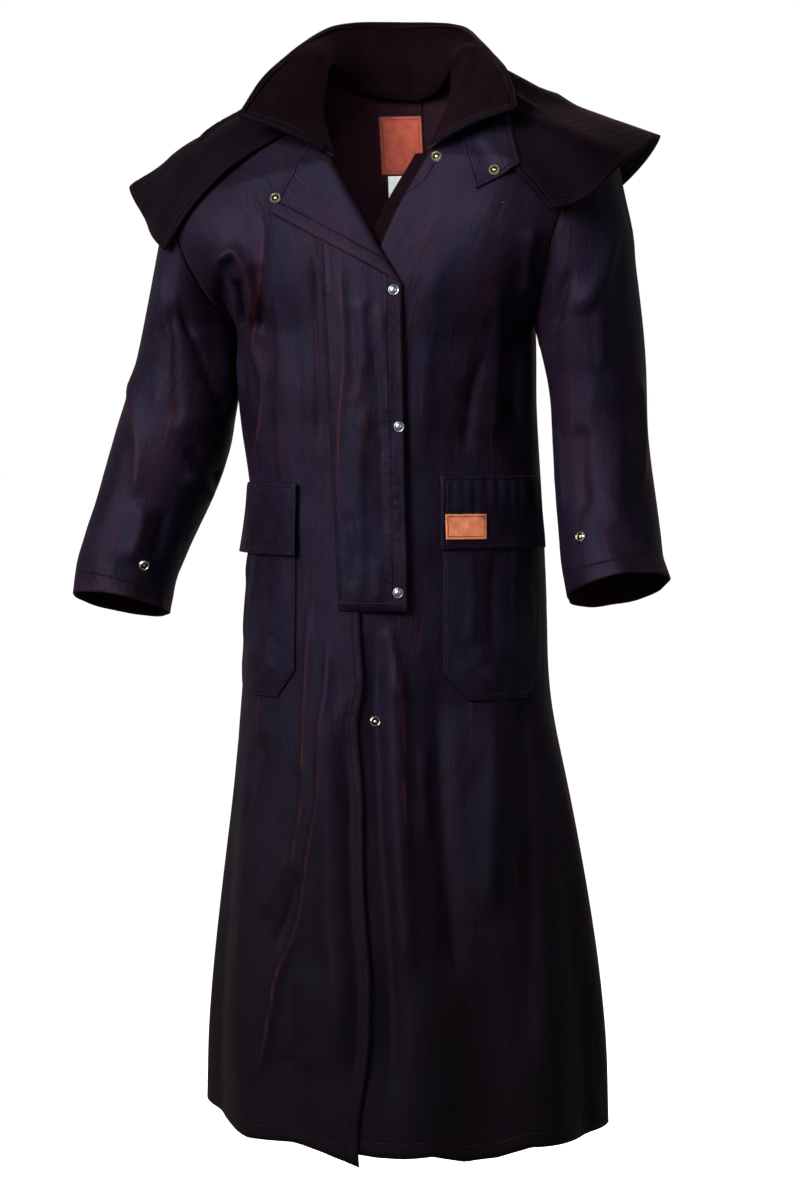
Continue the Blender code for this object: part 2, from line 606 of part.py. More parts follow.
def pocket(tree, side, name):
    near = POCKET_FROM_CENTRE[name]
    corner_x, corner_z = POCKET_CORNER

    def ends(z):
        cut = corner_x * max(0.0, (POCKET_BOTTOM_Z + corner_z - z) / corner_z)
        return near + cut, near + POCKET_WIDTH - cut

    def lift(up, across):
        bag = math.sin(math.pi * across) * math.sin(math.pi * min(1.0, up * 1.15)) ** 0.7
        return CLOTH + 0.5 + POCKET_BAG * max(0.0, bag)

    outline = (POCKET_TOP_Z, POCKET_BOTTOM_Z, ends)
    return patch_grid(tree, side, outline, lift, rows=9, columns=13)


def pocket_flap(tree, side, name):
    near = POCKET_FROM_CENTRE[name]

    def ends(z):
        return near - POCKET_FLAP_OVERHANG, near + POCKET_WIDTH + POCKET_FLAP_OVERHANG

    def lift(up, across):
        return CLOTH + 0.5 + POCKET_FLAP_LIFT * (1 - up) ** 0.6 + POCKET_FLAP_CURL * (1 - up) * across**3

    outline = (POCKET_FLAP_TOP_Z, POCKET_FLAP_BOTTOM_Z, ends)
    return patch_grid(tree, side, outline, lift, rows=5, columns=13)


def four_corner_grid(tree, corners, columns, rows, lift):
    """A patch between four corners seen from the front: top left, top right, bottom right, bottom left."""
    top_left, top_right, bottom_right, bottom_left = (np.array(c) for c in corners)
    grid = np.zeros((rows, columns, 3))
    for r in range(rows):
        for c in range(columns):
            u, v = c / (columns - 1), r / (rows - 1)
            x, z = (1 - v) * ((1 - u) * bottom_left + u * bottom_right) + v * ((1 - u) * top_left + u * top_right)
            hit, normal = cast_front(tree, x, z)
            grid[r, c] = hit + normal * lift
    return grid


def inner_patch_grid(tree, low, high, lift, columns, rows):
    """A patch on the inside of the back, between two corners seen from the front."""
    grid = np.zeros((rows, columns, 3))
    for r, z in enumerate(np.linspace(low[1], high[1], rows)):
        for c, x in enumerate(np.linspace(low[0], high[0], columns)):
            hit, normal, _, _ = tree.ray_cast(Vector((x, 0, z)), Vector((0, 1, 0)))
            if normal.y > 0:
                normal = -normal
            grid[r, c] = hit + normal * lift
    return grid


def snap(name, centre, normal, finish, home, socket=False):
    """One press stud, turned from its profile. A socket is a ring round a small dimple."""
    r, h = SNAP_RADIUS, SNAP_HEIGHT
    cap = [(0.0, h), (r * 0.62, h * 0.86), (r * 0.98, h * 0.3), (r, 0.0), (0.0, 0.0)]
    ring = [(0.0, h * 0.45), (r * 0.4, h * 0.35), (r * 0.66, h * 0.95), (r, h * 0.3), (r, 0.0), (0.0, 0.0)]
    profile = ring if socket else cap
    mesh = bpy.data.meshes.new(name)
    mesh.from_pydata(
        [(x * MM, 0, z * MM) for x, z in profile], [(i, i + 1) for i in range(len(profile) - 1)], [])
    mesh.materials.append(finish)
    made = bpy.data.objects.new(name, mesh)
    home.objects.link(made)
    turn = made.modifiers.new("turned", "SCREW")
    turn.steps = turn.render_steps = SNAP_SIDES
    turn.use_merge_vertices = True
    turn.merge_threshold = 0.00005
    turn.use_smooth_shade = True
    made.location = centre * MM
    made.rotation_mode = "QUATERNION"
    made.rotation_quaternion = Vector(normal).to_track_quat("Z", "Y")
    return made


def back_rows(front_rows, top_rows):
    """A back panel's key rows: the front's side seam, then its own armhole and neck."""
    rows = {}
    for name, centre in BACK_CENTRE.items():
        rows[name] = (*centre, *front_rows[name][3:6], 0, 90)
    rows.update(top_rows)
    return rows


def build_coat():
    clear_the_scene()
    home = collection_named("riding_coat")
    oilcloth = finish_named("waxed_cotton", (0.020, 0.015, 0.022), 0.48)
    brown_cloth = finish_named("collar_cloth", (0.040, 0.012, 0.018), 0.85)
    tan = finish_named("tan_patch", (0.62, 0.16, 0.06), 0.6)
    white = finish_named("white_tape", (0.72, 0.76, 0.72), 0.8)
    metal = finish_named("snap_metal", (0.62, 0.60, 0.55), 0.3, 1.0)

    panels = {
        "front_right": (FRONT_RIGHT_ROWS, TOWARDS_RIGHT, FRONT),
        "front_left": (FRONT_LEFT_ROWS, TOWARDS_LEFT, FRONT),
        "back_right": (back_rows(FRONT_RIGHT_ROWS, BACK_RIGHT_TOP), TOWARDS_RIGHT, BACK),
        "back_left": (back_rows(FRONT_LEFT_ROWS, BACK_LEFT_TOP), TOWARDS_LEFT, BACK),
    }
    bare = {}
    for name, (rows, side, face) in panels.items():
        grid, _ = panel_grid(name, rows, side, face)
        bare[name], _ = panel_grid(name, rows, side, face, trim=False)
        sheet(name, grid, CLOTH, oilcloth, home, outwards=side * face < 0)
    body_tree = tree_of(*bare.values())

    sleeves = {}
    for name, side, rings, rows in (
        ("right", TOWARDS_RIGHT, SLEEVE_RIGHT_RINGS, FRONT_RIGHT_ROWS),
        ("left", TOWARDS_LEFT, SLEEVE_LEFT_RINGS, FRONT_LEFT_ROWS),
    ):
        grid, _ = sleeve_grid(side, rings, bare["front_" + name], bare["back_" + name], rows)
        sleeves[name] = grid
        sheet("sleeve_" + name, grid, CLOTH, oilcloth, home, closed=True, outwards=side > 0)
    sleeve_trees = [tree_of(np.concatenate([g, g[:, :1]], axis=1)) for g in sleeves.values()]

    neck = neck_line(bare)
    cape = cape_grid(neck)
    clear = CLOTH + np.linspace(CAPE_CLEAR_NECK, CAPE_CLEAR_HEM, len(cape))
    cape = kept_outside(cape, [body_tree, *sleeve_trees], clear, below_shoulder)
    sheet("cape", cape, CLOTH, oilcloth, home)
    cape_tree = tree_of(cape)

    fronts = {side: tree_of(bare["front_" + side]) for side in ("right", "left")}
    flap = storm_flap_grid(bare["front_right"])
    flap = kept_outside(flap, [fronts["right"]], CLOTH + 0.4, straight_behind)
    sheet("storm_flap", flap, CLOTH, oilcloth, home)
    flap_tree = tree_of(flap)

    tab = four_corner_grid(fronts["left"], TAB_CORNERS, 6, 7, CLOTH + 0.7)
    tab = kept_outside(tab, [body_tree, cape_tree], CLOTH + 0.7, below_shoulder)
    sheet("throat_tab", tab, CLOTH, oilcloth, home)
    build_collar(home, oilcloth, brown_cloth, neck, [body_tree, cape_tree, flap_tree, tree_of(tab)])

    pocket_trees = {}
    for name, side in (("right", TOWARDS_RIGHT), ("left", TOWARDS_LEFT)):
        bag = kept_outside(pocket(body_tree, side, name), [body_tree], CLOTH + 0.7, from_middle)
        sheet("pocket_" + name, bag, CLOTH, oilcloth, home, outwards=side > 0)
        cover = kept_outside(
            pocket_flap(body_tree, side, name), [body_tree, tree_of(bag)], CLOTH + 0.7, from_middle)
        sheet("pocket_flap_" + name, cover, CLOTH, oilcloth, home, outwards=side > 0)
        pocket_trees[name] = tree_of(cover)

    patch = four_corner_grid(
        pocket_trees["left"], PATCH_CORNERS, columns=4, rows=3, lift=CLOTH + 0.5)
    sheet("pocket_patch", patch, 1.2, tan, home)
    backs = tree_of(bare["back_right"], bare["back_left"])
    sheet("neck_label", inner_patch_grid(backs, *NECK_LABEL_CORNERS, CLOTH + 0.4, 5, 6), 1.2, tan, home)
    sheet("care_label", inner_patch_grid(backs, *CARE_LABEL_CORNERS, CLOTH + 0.4, 3, 4), 1.0, white, home)

    build_snaps(home, metal, body_tree, fronts["left"], flap_tree, tree_of(tab), sleeve_trees)


def from_neck_middle(seam):
    """Level unit vectors from the middle of the neck opening out to the seam's points."""
    out = (seam - np.array([NECK_MIDDLE_X, 0, 0])) * np.array([1, 1, 0])
    return out / np.linalg.norm(out, axis=1, keepdims=True)


def cape_grid(neck, columns=35, rows=7):
    table = columns_of(CAPE_ROWS, columns)
    seam = on_neck(neck, table[:, 0])
    seam = seam + from_neck_middle(seam) * CAPE_NECK_SET_BACK
    return lofted([seam, table[:, 1:4], table[:, 4:7]], rows)


def collar_grid(neck, columns=33, rows=7):
    table = columns_of(COLLAR_ROWS, columns)
    along = table[:, :1]
    seam = on_neck(neck, along[:, 0])
    from_end = np.minimum(along, 1 - along)
    inset = ease(from_end, 0.14, 0.24)
    drop = ease(from_end, 0.33, 0.42)
    over_lapel = 1 - ease(along, 0.1, 0.22)
    perch = np.where(along < 0.5, [[0.5, -0.5, 0.7]], [[-0.5, -0.5, 0.7]])
    rise = inset * (COLLAR_RISE * (1 - drop) - COLLAR_DROP * drop)
    seam = seam - inset * COLLAR_INSET * from_neck_middle(seam) + rise * np.array([0, 0, 1])
    seam = seam + (1 - inset) * (COLLAR_PERCH + LAPEL_PERCH * over_lapel) * perch
    return lofted([seam, table[:, 1:4]], rows)


def build_collar(home, oilcloth, brown_cloth, neck, trees):
    collar = collar_grid(neck)
    bow = COLLAR_STAND * np.sin(math.pi * np.linspace(0, 1, len(collar)))[:, None, None]
    collar = collar + outward_normals(collar) * bow
    free = kept_outside(collar, trees, 2 * CLOTH + 0.8, below_shoulder)
    # The two lowest rows keep their place on the neck seam.
    share = np.clip(np.arange(len(collar)) / 2, 0, 1)[:, None, None]
    collar = collar + (free - collar) * share
    towards_neck = outward_normals(collar)
    sheet("collar", collar - towards_neck * (CLOTH + FACING_GAP) / 2, CLOTH, oilcloth, home)
    facing = drawn_in(collar + towards_neck * (FACING + FACING_GAP) / 2, COLLAR_EDGE)
    sheet("collar_facing", facing, FACING, brown_cloth, home)


def drawn_in(grid, by):
    """The same grid stopping short at its two ends and its last row."""
    drawn = grid.copy()
    for edge, next_to in ((np.s_[:, 0], np.s_[:, 1]), (np.s_[:, -1], np.s_[:, -2]), (np.s_[-1], np.s_[-2])):
        way = drawn[next_to] - drawn[edge]
        drawn[edge] = drawn[edge] + way * by / np.linalg.norm(way, axis=1, keepdims=True)
    return drawn


def build_snaps(home, metal, body_tree, left_front, flap_tree, tab_tree, sleeve_trees):
    over_cloth = CLOTH / 2 + 0.6
    over_curved_cloth = CLOTH / 2 + 2.2
    seen_from_front = (
        ("snap_front_top", flap_tree, 25, -287, False),
        ("snap_front_middle", flap_tree, 32, -446, False),
        ("snap_front_low", flap_tree, 31, -640, False),
        ("snap_lapel", flap_tree, -121, -176, True),
        ("snap_tab", tab_tree, 140, -149, True),
        ("snap_neck", left_front, 70, -131, True),
        ("snap_skirt", left_front, 2, -792, True),
    )
    for name, tree, x, z, socket in seen_from_front:
        hit, normal = cast_front(tree, x, z)
        lift = over_curved_cloth if tree == tab_tree else over_cloth
        snap(name, hit + normal * lift, normal, metal, home, socket)
    for name, tree, start, target in (
        ("snap_cuff_right", sleeve_trees[0], (-262, -400, -612), (-300, -30, -612)),
        ("snap_cuff_left", sleeve_trees[1], (214, -400, -574), (246, -30, -574)),
    ):
        way = (Vector(target) - Vector(start)).normalized()
        hit, normal, _, _ = tree.ray_cast(Vector(start), way)
        normal = normal if normal.dot(way) < 0 else -normal
        snap(name, hit + normal * over_cloth, normal, metal, home, True)


build_coat()
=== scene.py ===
import math
import bpy
import numpy as np
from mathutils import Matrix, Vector
from mathutils.bvhtree import BVHTree


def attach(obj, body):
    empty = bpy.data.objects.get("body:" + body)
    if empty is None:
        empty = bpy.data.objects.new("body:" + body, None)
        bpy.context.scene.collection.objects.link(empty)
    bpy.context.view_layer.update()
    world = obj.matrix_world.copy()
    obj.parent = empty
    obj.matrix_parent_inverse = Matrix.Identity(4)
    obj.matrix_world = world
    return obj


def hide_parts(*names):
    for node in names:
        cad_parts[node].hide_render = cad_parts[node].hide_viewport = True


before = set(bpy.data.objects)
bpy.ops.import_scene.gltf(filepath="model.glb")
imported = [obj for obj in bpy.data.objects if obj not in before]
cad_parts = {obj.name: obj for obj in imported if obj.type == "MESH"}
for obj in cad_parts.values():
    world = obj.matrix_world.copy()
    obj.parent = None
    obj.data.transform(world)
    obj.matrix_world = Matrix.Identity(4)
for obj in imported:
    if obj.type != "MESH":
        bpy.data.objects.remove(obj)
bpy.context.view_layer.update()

MM = 0.001

# Fronts and backs. Four panels of waxed cotton, joined by lapped seams at the centre back, the
# sides and the shoulders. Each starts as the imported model's own panel, read more finely, and
# takes the photograph's creases, which stand along their rubbed red-brown lines.
CLOTH = 1.6
SEAM_GAP, SIDE_GAP, RIDGE_GAP, UNDERARM_GAP = 0.3, 0.9, 1.2, 1.4
FRONT, BACK = -1, 1
PANEL_STEPS, PANEL_COLUMNS = 18, 84
# Each row is the inner edge's x, y and z, the outer edge's, and how far the cloth turns back at both.
FRONT_LEFT_ROWS = {
    "hem":        (-12, -187, -1301, 262, 8, -1291, 0, 90),
    "shin":       (-15, -177, -1163, 257, 8, -1163, 0, 90),
    "knee":       (-20, -160, -1017, 237, 8, -1017, 0, 90),
    "thigh":      (-26, -143, -872, 209, 8, -872, 0, 90),
    "seat":       (-30, -133, -770, 187, 8, -770, 0, 90),
    "hip":        (-31, -128, -660, 184, 8, -660, 0, 90),
    "waist":      (-31, -126, -540, 178, 8, -540, 0, 90),
    "rib":        (-31, -127, -440, 171, 8, -440, 0, 90),
    "underarm":   (-22, -127, -326, 168, 6, -326, 0, 90),
    "arm_low":    (2, -122, -246, 190, -58, -272, 0, 62),
    "arm_front":  (32, -112, -180, 210, -84, -208, 0, 40),
    "neck_end":   (61, -98, -126, 234, -72, -150, -4, 22),
    "collarbone": (77, -56, -74, 252, -38, -108, -14, 14),
    "shoulder":   (76, 2, -1, 262, 0, -86, 0, 0),
}
FRONT_RIGHT_ROWS = {
    "hem":        (2, -191, -1299, 238, 8, -1270, 0, 90),
    "shin":       (4, -181, -1163, 235, 8, -1163, 0, 90),
    "knee":       (5, -164, -1017, 220, 8, -1017, 0, 90),
    "thigh":      (7, -147, -872, 202, 8, -872, 0, 90),
    "seat":       (8, -137, -770, 193, 8, -770, 0, 90),
    "hip":        (8, -132, -660, 185, 8, -660, 0, 90),
    "waist":      (8, -130, -540, 178, 8, -540, 0, 90),
    "rib":        (8, -131, -440, 194, 8, -440, 0, 90),
    "underarm":   (9, -130, -326, 198, 6, -328, 0, 90),
    "arm_low":    (19, -125, -252, 224, -58, -282, 0, 62),
    "arm_front":  (34, -114, -196, 247, -84, -228, 0, 40),
    "neck_end":   (56, -98, -137, 262, -74, -176, -4, 22),
    "collarbone": (80, -56, -84, 268, -40, -134, -14, 14),
    "shoulder":   (88, 2, -5, 268, 0, -108, 0, 0),
}
ROW_PLACES = {
    "hem": 0, "shin": 131, "knee": 277, "thigh": 422, "seat": 524, "hip": 634, "waist": 754, "rib": 854,
    "underarm": 968, "arm_low": 1040, "arm_front": 1106, "neck_end": 1160, "collarbone": 1206, "nape": 1234,
    "shoulder": 1262,
}
BACK_CENTRE = {
    "hem": (0, 190, -1290), "shin": (0, 178, -1163), "knee": (0, 160, -1017), "thigh": (0, 143, -872),
    "seat": (0, 129, -770), "hip": (0, 113, -660), "waist": (0, 104, -540), "rib": (0, 112, -440),
    "underarm": (0, 125, -326),
}
BACK_LEFT_TOP = {
    "arm_low":    (3, 127, -246, 193, 66, -262, 0, 62),
    "arm_front":  (4, 120, -166, 214, 86, -200, 0, 40),
    "neck_end":   (5, 104, -84, 238, 68, -142, 0, 22),
    "collarbone": (6, 88, -30, 254, 34, -102, 0, 14),
    "nape":       (40, 66, -20, 259, 15, -92, 12, 6),
    "shoulder":   (76, 2, -1, 262, 0, -86, 0, 0),
}
BACK_RIGHT_TOP = {
    "arm_low":    (-3, 127, -246, 226, 68, -274, 0, 62),
    "arm_front":  (-4, 120, -166, 249, 86, -218, 0, 40),
    "neck_end":   (-5, 104, -84, 263, 68, -168, 0, 22),
    "collarbone": (-6, 88, -30, 267, 34, -128, 0, 14),
    "nape":       (52, 66, -22, 268, 15, -116, 12, 6),
    "shoulder":   (88, 2, -5, 268, 0, -108, 0, 0),
}
# The largest folds of each panel: where across it they start and end, the heights of those,
# half their width as a share of the panel's, and how far they stand out.
FOLDS = {
    "front_right": (
        (0.62, 0.40, -690, -1330, 0.10, 10.0),
        (0.38, 0.20, -640, -1330, 0.09, -8.0),
        (0.80, 0.68, -760, -1330, 0.10, -9.0),
        (0.30, 0.36, -300, -640, 0.09, 4.0),
        (0.16, 0.28, -380, -660, 0.08, -4.0),
        (0.86, 0.66, -210, -520, 0.09, -9.0),
        (0.70, 0.56, -200, -520, 0.08, 6.0),
    ),
    "front_left": (
        (0.30, 0.24, -330, -700, 0.09, 3.5),
        (0.22, 0.18, -680, -1330, 0.09, 8.0),
        (0.40, 0.38, -700, -1330, 0.09, -7.0),
        (0.58, 0.60, -740, -1330, 0.10, 9.0),
        (0.80, 0.82, -780, -1330, 0.09, -8.0),
        (0.84, 0.72, -210, -460, 0.09, -7.0),
    ),
    "back_right": (
        (0.20, 0.24, -620, -1330, 0.08, 10.0),
        (0.42, 0.46, -660, -1330, 0.09, -11.0),
        (0.66, 0.68, -640, -1330, 0.09, 11.0),
        (0.88, 0.88, -700, -1330, 0.08, -8.0),
        (0.80, 0.62, -190, -520, 0.09, -7.0),
    ),
    "back_left": (
        (0.16, 0.20, -640, -1330, 0.08, 9.0),
        (0.38, 0.42, -620, -1330, 0.09, -10.0),
        (0.62, 0.66, -680, -1330, 0.09, 10.0),
        (0.84, 0.86, -720, -1330, 0.08, -8.0),
        (0.78, 0.60, -190, -500, 0.09, -7.0),
    ),
}
# Creases: half width, depth (above 0 stands out), how red it is rubbed, and its line on the
# cloth as mm from the inner edge and height.
PANEL_CREASES = {
"front_right": (
    (8, 3, 1.0, [(92, -180), (113, -251), (143, -317), (156, -355), (145, -384), (149, -440), (169, -490),
                 (177, -515)]),
    (8, 9, .3, [(176, -270), (160, -246), (144, -240), (134, -258), (138, -292), (158, -330)]),
    (8, -8, 0, [(150, -268), (160, -300), (184, -330)]),
    (8, -6, 0, [(124, -250), (126, -290), (146, -336)]),
    (11, -7, 0, [(164, -252), (215, -293), (248, -317), (243, -374)]),
    (13, 4, .1, [(180, -292), (221, -365), (199, -439), (178, -481)]),
    (13, -3, 0, [(94, -290), (88, -412), (84, -570)]),
    (13, 3, 0, [(100, -230), (112, -374), (120, -540)]),
    (10, -3, 0, [(48, -230), (56, -345), (60, -480)]),
    (6, 4, 1.0, [(74, -650), (73, -678), (78, -821), (78, -884), (91, -945), (95, -1006)]),
    (7, 6, 1.0, [(41, -660), (48, -796), (53, -884), (66, -945), (87, -1042), (111, -1091), (120, -1139),
                 (128, -1184), (163, -1245)]),
    (20, 8, .1, [(36, -743), (37, -830), (40, -945), (42, -1017), (35, -1102), (36, -1207)]),
    (12, -7, 0, [(17, -787), (15, -855), (14, -1066), (11, -1163), (11, -1253)]),
    (13, -6, 0, [(144, -812), (156, -872), (172, -932)]),
    (9, 5, .3, [(96, -945), (114, -981), (140, -1029)]),
    (9, -5, 0, [(85, -969), (104, -1030), (121, -1066)]),
    (24, 5, 0, [(69, -1078), (70, -1115), (81, -1207)]),
    (8, -4, 0, [(101, -1206), (86, -1185), (69, -1164)]),
),
"front_left": (
    (15, -10, 0, [(33, -660), (35, -812), (38, -944), (45, -1065), (46, -1185), (47, -1265)]),
    (21, 9, .1, [(50, -697), (53, -770), (57, -920), (63, -1016), (67, -1113)]),
    (7, 2, 1.0, [(64, -697), (66, -804), (66, -920), (69, -992)]),
    (18, -8, 0, [(106, -724), (108, -787), (114, -944), (122, -1017), (128, -1114)]),
    (19, 8, .1, [(167, -697), (169, -733), (173, -855), (167, -981), (164, -1042)]),
    (22, -6, 0, [(211, -697), (223, -908), (215, -1101), (212, -1207)]),
    (7, 3, .4, [(91, -812), (90, -872), (91, -932)]),
    (18, 3, 0, [(68, -231), (86, -320), (87, -412), (87, -498)]),
    (10, -4, 0, [(160, -355), (152, -393), (140, -482)]),
    (14, -6, 0, [(207, -346), (215, -392), (214, -440)]),
    (12, 3, .2, [(150, -274), (176, -345), (177, -465)]),
    (9, 4, .5, [(160, -210), (176, -252), (201, -295)]),
    (8, 4, .8, [(47, -678), (55, -715), (61, -770)]),
),
"back_right": (
    (14, 5, .8, [(70, -300), (76, -420), (70, -560), (62, -700)]),
    (18, -6, 0, [(150, -240), (140, -330), (118, -440), (112, -560)]),
    (12, 5, .6, [(170, -300), (176, -400), (160, -520)]),
    (16, 7, .8, [(56, -700), (62, -860), (70, -1040), (80, -1200)]),
    (17, -8, 0, [(100, -660), (112, -820), (124, -1010), (136, -1200)]),
    (13, 6, .7, [(150, -720), (170, -880), (186, -1040), (200, -1230)]),
    (10, -5, 0, [(36, -820), (34, -980), (40, -1150)]),
    (9, 4, .5, [(205, -820), (226, -960), (240, -1100)]),
),
"back_left": (
    (16, 5, .7, [(64, -280), (60, -410), (66, -560), (76, -680)]),
    (16, -6, 0, [(140, -230), (132, -340), (110, -450), (104, -580)]),
    (11, 4, .6, [(160, -330), (150, -430), (154, -540)]),
    (15, 7, .8, [(48, -680), (50, -850), (60, -1020), (66, -1230)]),
    (18, -8, 0, [(92, -700), (98, -850), (112, -1020), (118, -1180)]),
    (14, 7, .8, [(140, -680), (150, -840), (172, -1000), (180, -1200)]),
    (11, -5, 0, [(28, -760), (30, -930), (26, -1090)]),
    (10, -5, 0, [(196, -780), (214, -950), (230, -1120)]),
),
}
# How far the right front's edge swings towards the wearer's left, by height
EDGE_SWING = np.array([
    (-1310, 0), (-1275, -2), (-1240, 1), (-1210, 6), (-1165, 11), (-1122, 11), (-1090, 11), (-1055, 8),
    (-1003, 3), (-944, 0), (-884, -1), (-825, -6), (-796, -8), (-750, -2), (-707, -5), (-666, -7),
    (-600, 0)], float)
EDGE_SWING_WIDTH = (4, 90)        # across the cloth, in mm, from the full swing to none
HEM, HEM_WAVE_REACH = 18, 110
# How far the hem dips or lifts, by mm from each panel's inner edge
HEM_WAVE = {
    "front_right": ((0, -9), (18, -4), (45, 1), (90, 4), (150, -2), (210, 2), (300, 0)),
    "front_left": ((0, 8), (30, 4), (60, 3), (95, 5), (135, -5), (175, -4), (215, 5), (300, 1)),
    "back_right": ((0, 0), (50, 5), (110, -5), (170, 4), (230, -3), (300, 0)),
    "back_left": ((0, 0), (60, 4), (115, -4), (165, 5), (225, -3), (300, 0)),
}


def weights(s):
    """The shares, on a smooth stretch, of its start, its slope there, its end and the slope there."""
    return 2 * s**3 - 3 * s**2 + 1, s**3 - 2 * s**2 + s, 3 * s**2 - 2 * s**3, s**3 - s**2


def spline(knots, values, at):
    """A smooth curve through values at knots, read at the places in at."""
    knots, values, at = (np.asarray(x, float) for x in (knots, values, at))
    slopes = np.gradient(values, knots, axis=0)
    i = np.clip(np.searchsorted(knots, at, side="right") - 1, 0, len(knots) - 2)
    step = (knots[i + 1] - knots[i])[:, None]
    start, leave, end, arrive = weights((at - knots[i])[:, None] / step)
    return start * values[i] + leave * step * slopes[i] + end * values[i + 1] + arrive * step * slopes[i + 1]


def cornered_spline(knots, values, at, corner):
    """The same with a corner at one knot, so that what lies beyond it doesn't bend what lies before."""
    before = at <= knots[corner]
    return np.concatenate([
        spline(knots[:corner + 1], values[:corner + 1], at[before]),
        spline(knots[corner:], values[corner:], at[~before])])


def travelled_along(line):
    """How far along a line of points each of them lies."""
    return np.insert(np.cumsum(np.linalg.norm(np.diff(line, axis=0), axis=1)), 0, 0.0)


def resampled(line, count):
    """count points evenly spaced along a smooth line through points, both ends kept."""
    travelled = travelled_along(line)
    return spline(travelled, line, np.linspace(0, travelled[-1], count))


def places_on(line, travelled, at):
    """Places on a line that is straight from each of its points to the next."""
    return np.stack([np.interp(at, travelled, line[:, axis]) for axis in range(3)], axis=-1)


def ease(x, low, high):
    """0 below low, 1 above high, and smooth between."""
    s = np.clip((np.asarray(x, float) - low) / (high - low), 0, 1)
    return s * s * (3 - 2 * s)


def outward_normals(grid, closed=False):
    """Unit normals of a grid of points, from its rows and columns."""
    if closed:
        across = np.roll(grid, -1, axis=1) - np.roll(grid, 1, axis=1)
    else:
        across = np.gradient(grid, axis=1)
    along = np.gradient(grid, axis=0)
    normal = np.cross(across, along)
    return normal / np.maximum(np.linalg.norm(normal, axis=2, keepdims=True), 1e-9)


def panel_side(grid, side, face):
    """Unit normals out of the coat, for a panel on either side and face of it."""
    return outward_normals(grid) * (-1 if side * face > 0 else 1)


def raised(grid, normals, height):
    """The grid moved out along its normals."""
    return grid + normals * height[:, :, None]


def fold_depths(name, across, heights):
    """How far the largest folds stand out of a panel at each of its points, in mm."""
    total = np.zeros((len(heights), len(across)))
    for at_top, at_bottom, top_z, bottom_z, half_width, depth in FOLDS[name]:
        down = (top_z - heights) / (top_z - bottom_z)
        middle = at_top + (at_bottom - at_top) * np.clip(down, 0, 1)
        reaches_hem = bottom_z < -1300
        strength = ease(down, 0.0, 0.75) if reaches_hem else ease(down, 0, 0.3) * ease(-down, -1, -0.7)
        shape = np.exp(-(((across[None, :] - middle[:, None]) / half_width) ** 2))
        total += depth * strength[:, None] * shape
    return total * (ease(across, 0, 0.06) * ease(-across, -1, -0.94))[None, :]


def panel_grid(name, rows, side, face, trim=True):
    """The middle of a panel's cloth: rows from the hem up, columns from its inner edge out. Trimmed,
    it stops short of the seams by the hair's breadth that keeps two panels apart."""
    keys = np.array(list(rows.values()), float)
    knots = np.array([ROW_PLACES[row] for row in rows], float)
    steps = np.linspace(0, len(keys) - 1, (len(keys) - 1) * PANEL_STEPS + 1)
    places = np.interp(steps, np.arange(len(keys)), knots)
    if trim:
        places[-1] -= RIDGE_GAP
    order = list(rows)
    neck_corner = order.index("neck_end" if face == FRONT else "collarbone")
    inner = cornered_spline(knots, keys[:, 0:3], places, neck_corner)
    outer = cornered_spline(knots, keys[:, 3:6], places, order.index("underarm"))
    turns = np.radians(spline(knots, keys[:, 6:8], places).T)
    armhole = places > knots[order.index("underarm")]
    start = np.full(len(places), SEAM_GAP / 2 if trim else 0.0)
    end = np.where(armhole, RIDGE_GAP / 2, SIDE_GAP / 2) if trim else start * 0
    span = outer - inner
    length = np.linalg.norm(span, axis=1)
    tangents = []
    for turn in turns:
        pull = math.pi / 2 * (abs(span[:, 0]) * abs(np.cos(turn)) + abs(span[:, 1]) * abs(np.sin(turn)))
        tangents.append(np.stack([np.cos(turn) * pull, -face * np.sin(turn) * pull, span[:, 2]], 1))
    across = np.linspace(0, 1, PANEL_COLUMNS)
    t = across[None, :] * (1 - (start + end) / length)[:, None] + (start / length)[:, None]
    at_inner, leave, at_outer, arrive = weights(t[:, :, None])
    grid = (at_inner * inner[:, None] + leave * tangents[0][:, None]
            + at_outer * outer[:, None] + arrive * tangents[1][:, None])
    grid[:, :, 0] *= side
    depths = fold_depths(name, across, grid[:, PANEL_COLUMNS // 2, 2])
    return raised(grid, panel_side(grid, side, face), depths)


def smoothed_along(grid, share):
    """The grid with its rows evened out, by the share given for each of its points."""
    far, half = 24, 9.0
    reach = np.arange(-far, far + 1)
    bell = np.exp(-(reach / half) ** 2)
    padded = np.pad(grid, ((far, far), (0, 0), (0, 0)), mode="edge")
    even = sum(w * padded[far + k:far + k + len(grid)] for k, w in zip(reach, bell / bell.sum()))
    return raised(grid, even - grid, share)


def even_panel(grid):
    """The panel's face carried smoothly down its length and past the foot of the armhole, whose
    own edge keeps its corner."""
    z = grid[:, :, 2]
    armhole_foot, reach = -300, 85
    inwards = 1 - ease(np.linspace(0, 1, grid.shape[1]), 0.74, 0.98)
    body = 0.9 * ease(z, -1270, -1130) * (1 - ease(z, -470, -400))
    return smoothed_along(grid, np.maximum(body, np.exp(-((z - armhole_foot) / reach) ** 4) * inwards))


def quads(rows, columns, closed=False):
    """The faces of a grid of points, each between two rows and two columns."""
    last = columns if closed else columns - 1
    return [
        (r * columns + c, r * columns + (c + 1) % columns,
         (r + 1) * columns + (c + 1) % columns, (r + 1) * columns + c)
        for r in range(rows - 1) for c in range(last)
    ]


def tree_of(*grids):
    """A search tree over open grids of points."""
    points, faces = [], []
    for grid in grids:
        first = len(points)
        points += [Vector(p) for p in grid.reshape(-1, 3)]
        faces += [tuple(first + i for i in face) for face in quads(*grid.shape[:2])]
    return BVHTree.FromPolygons(points, faces)


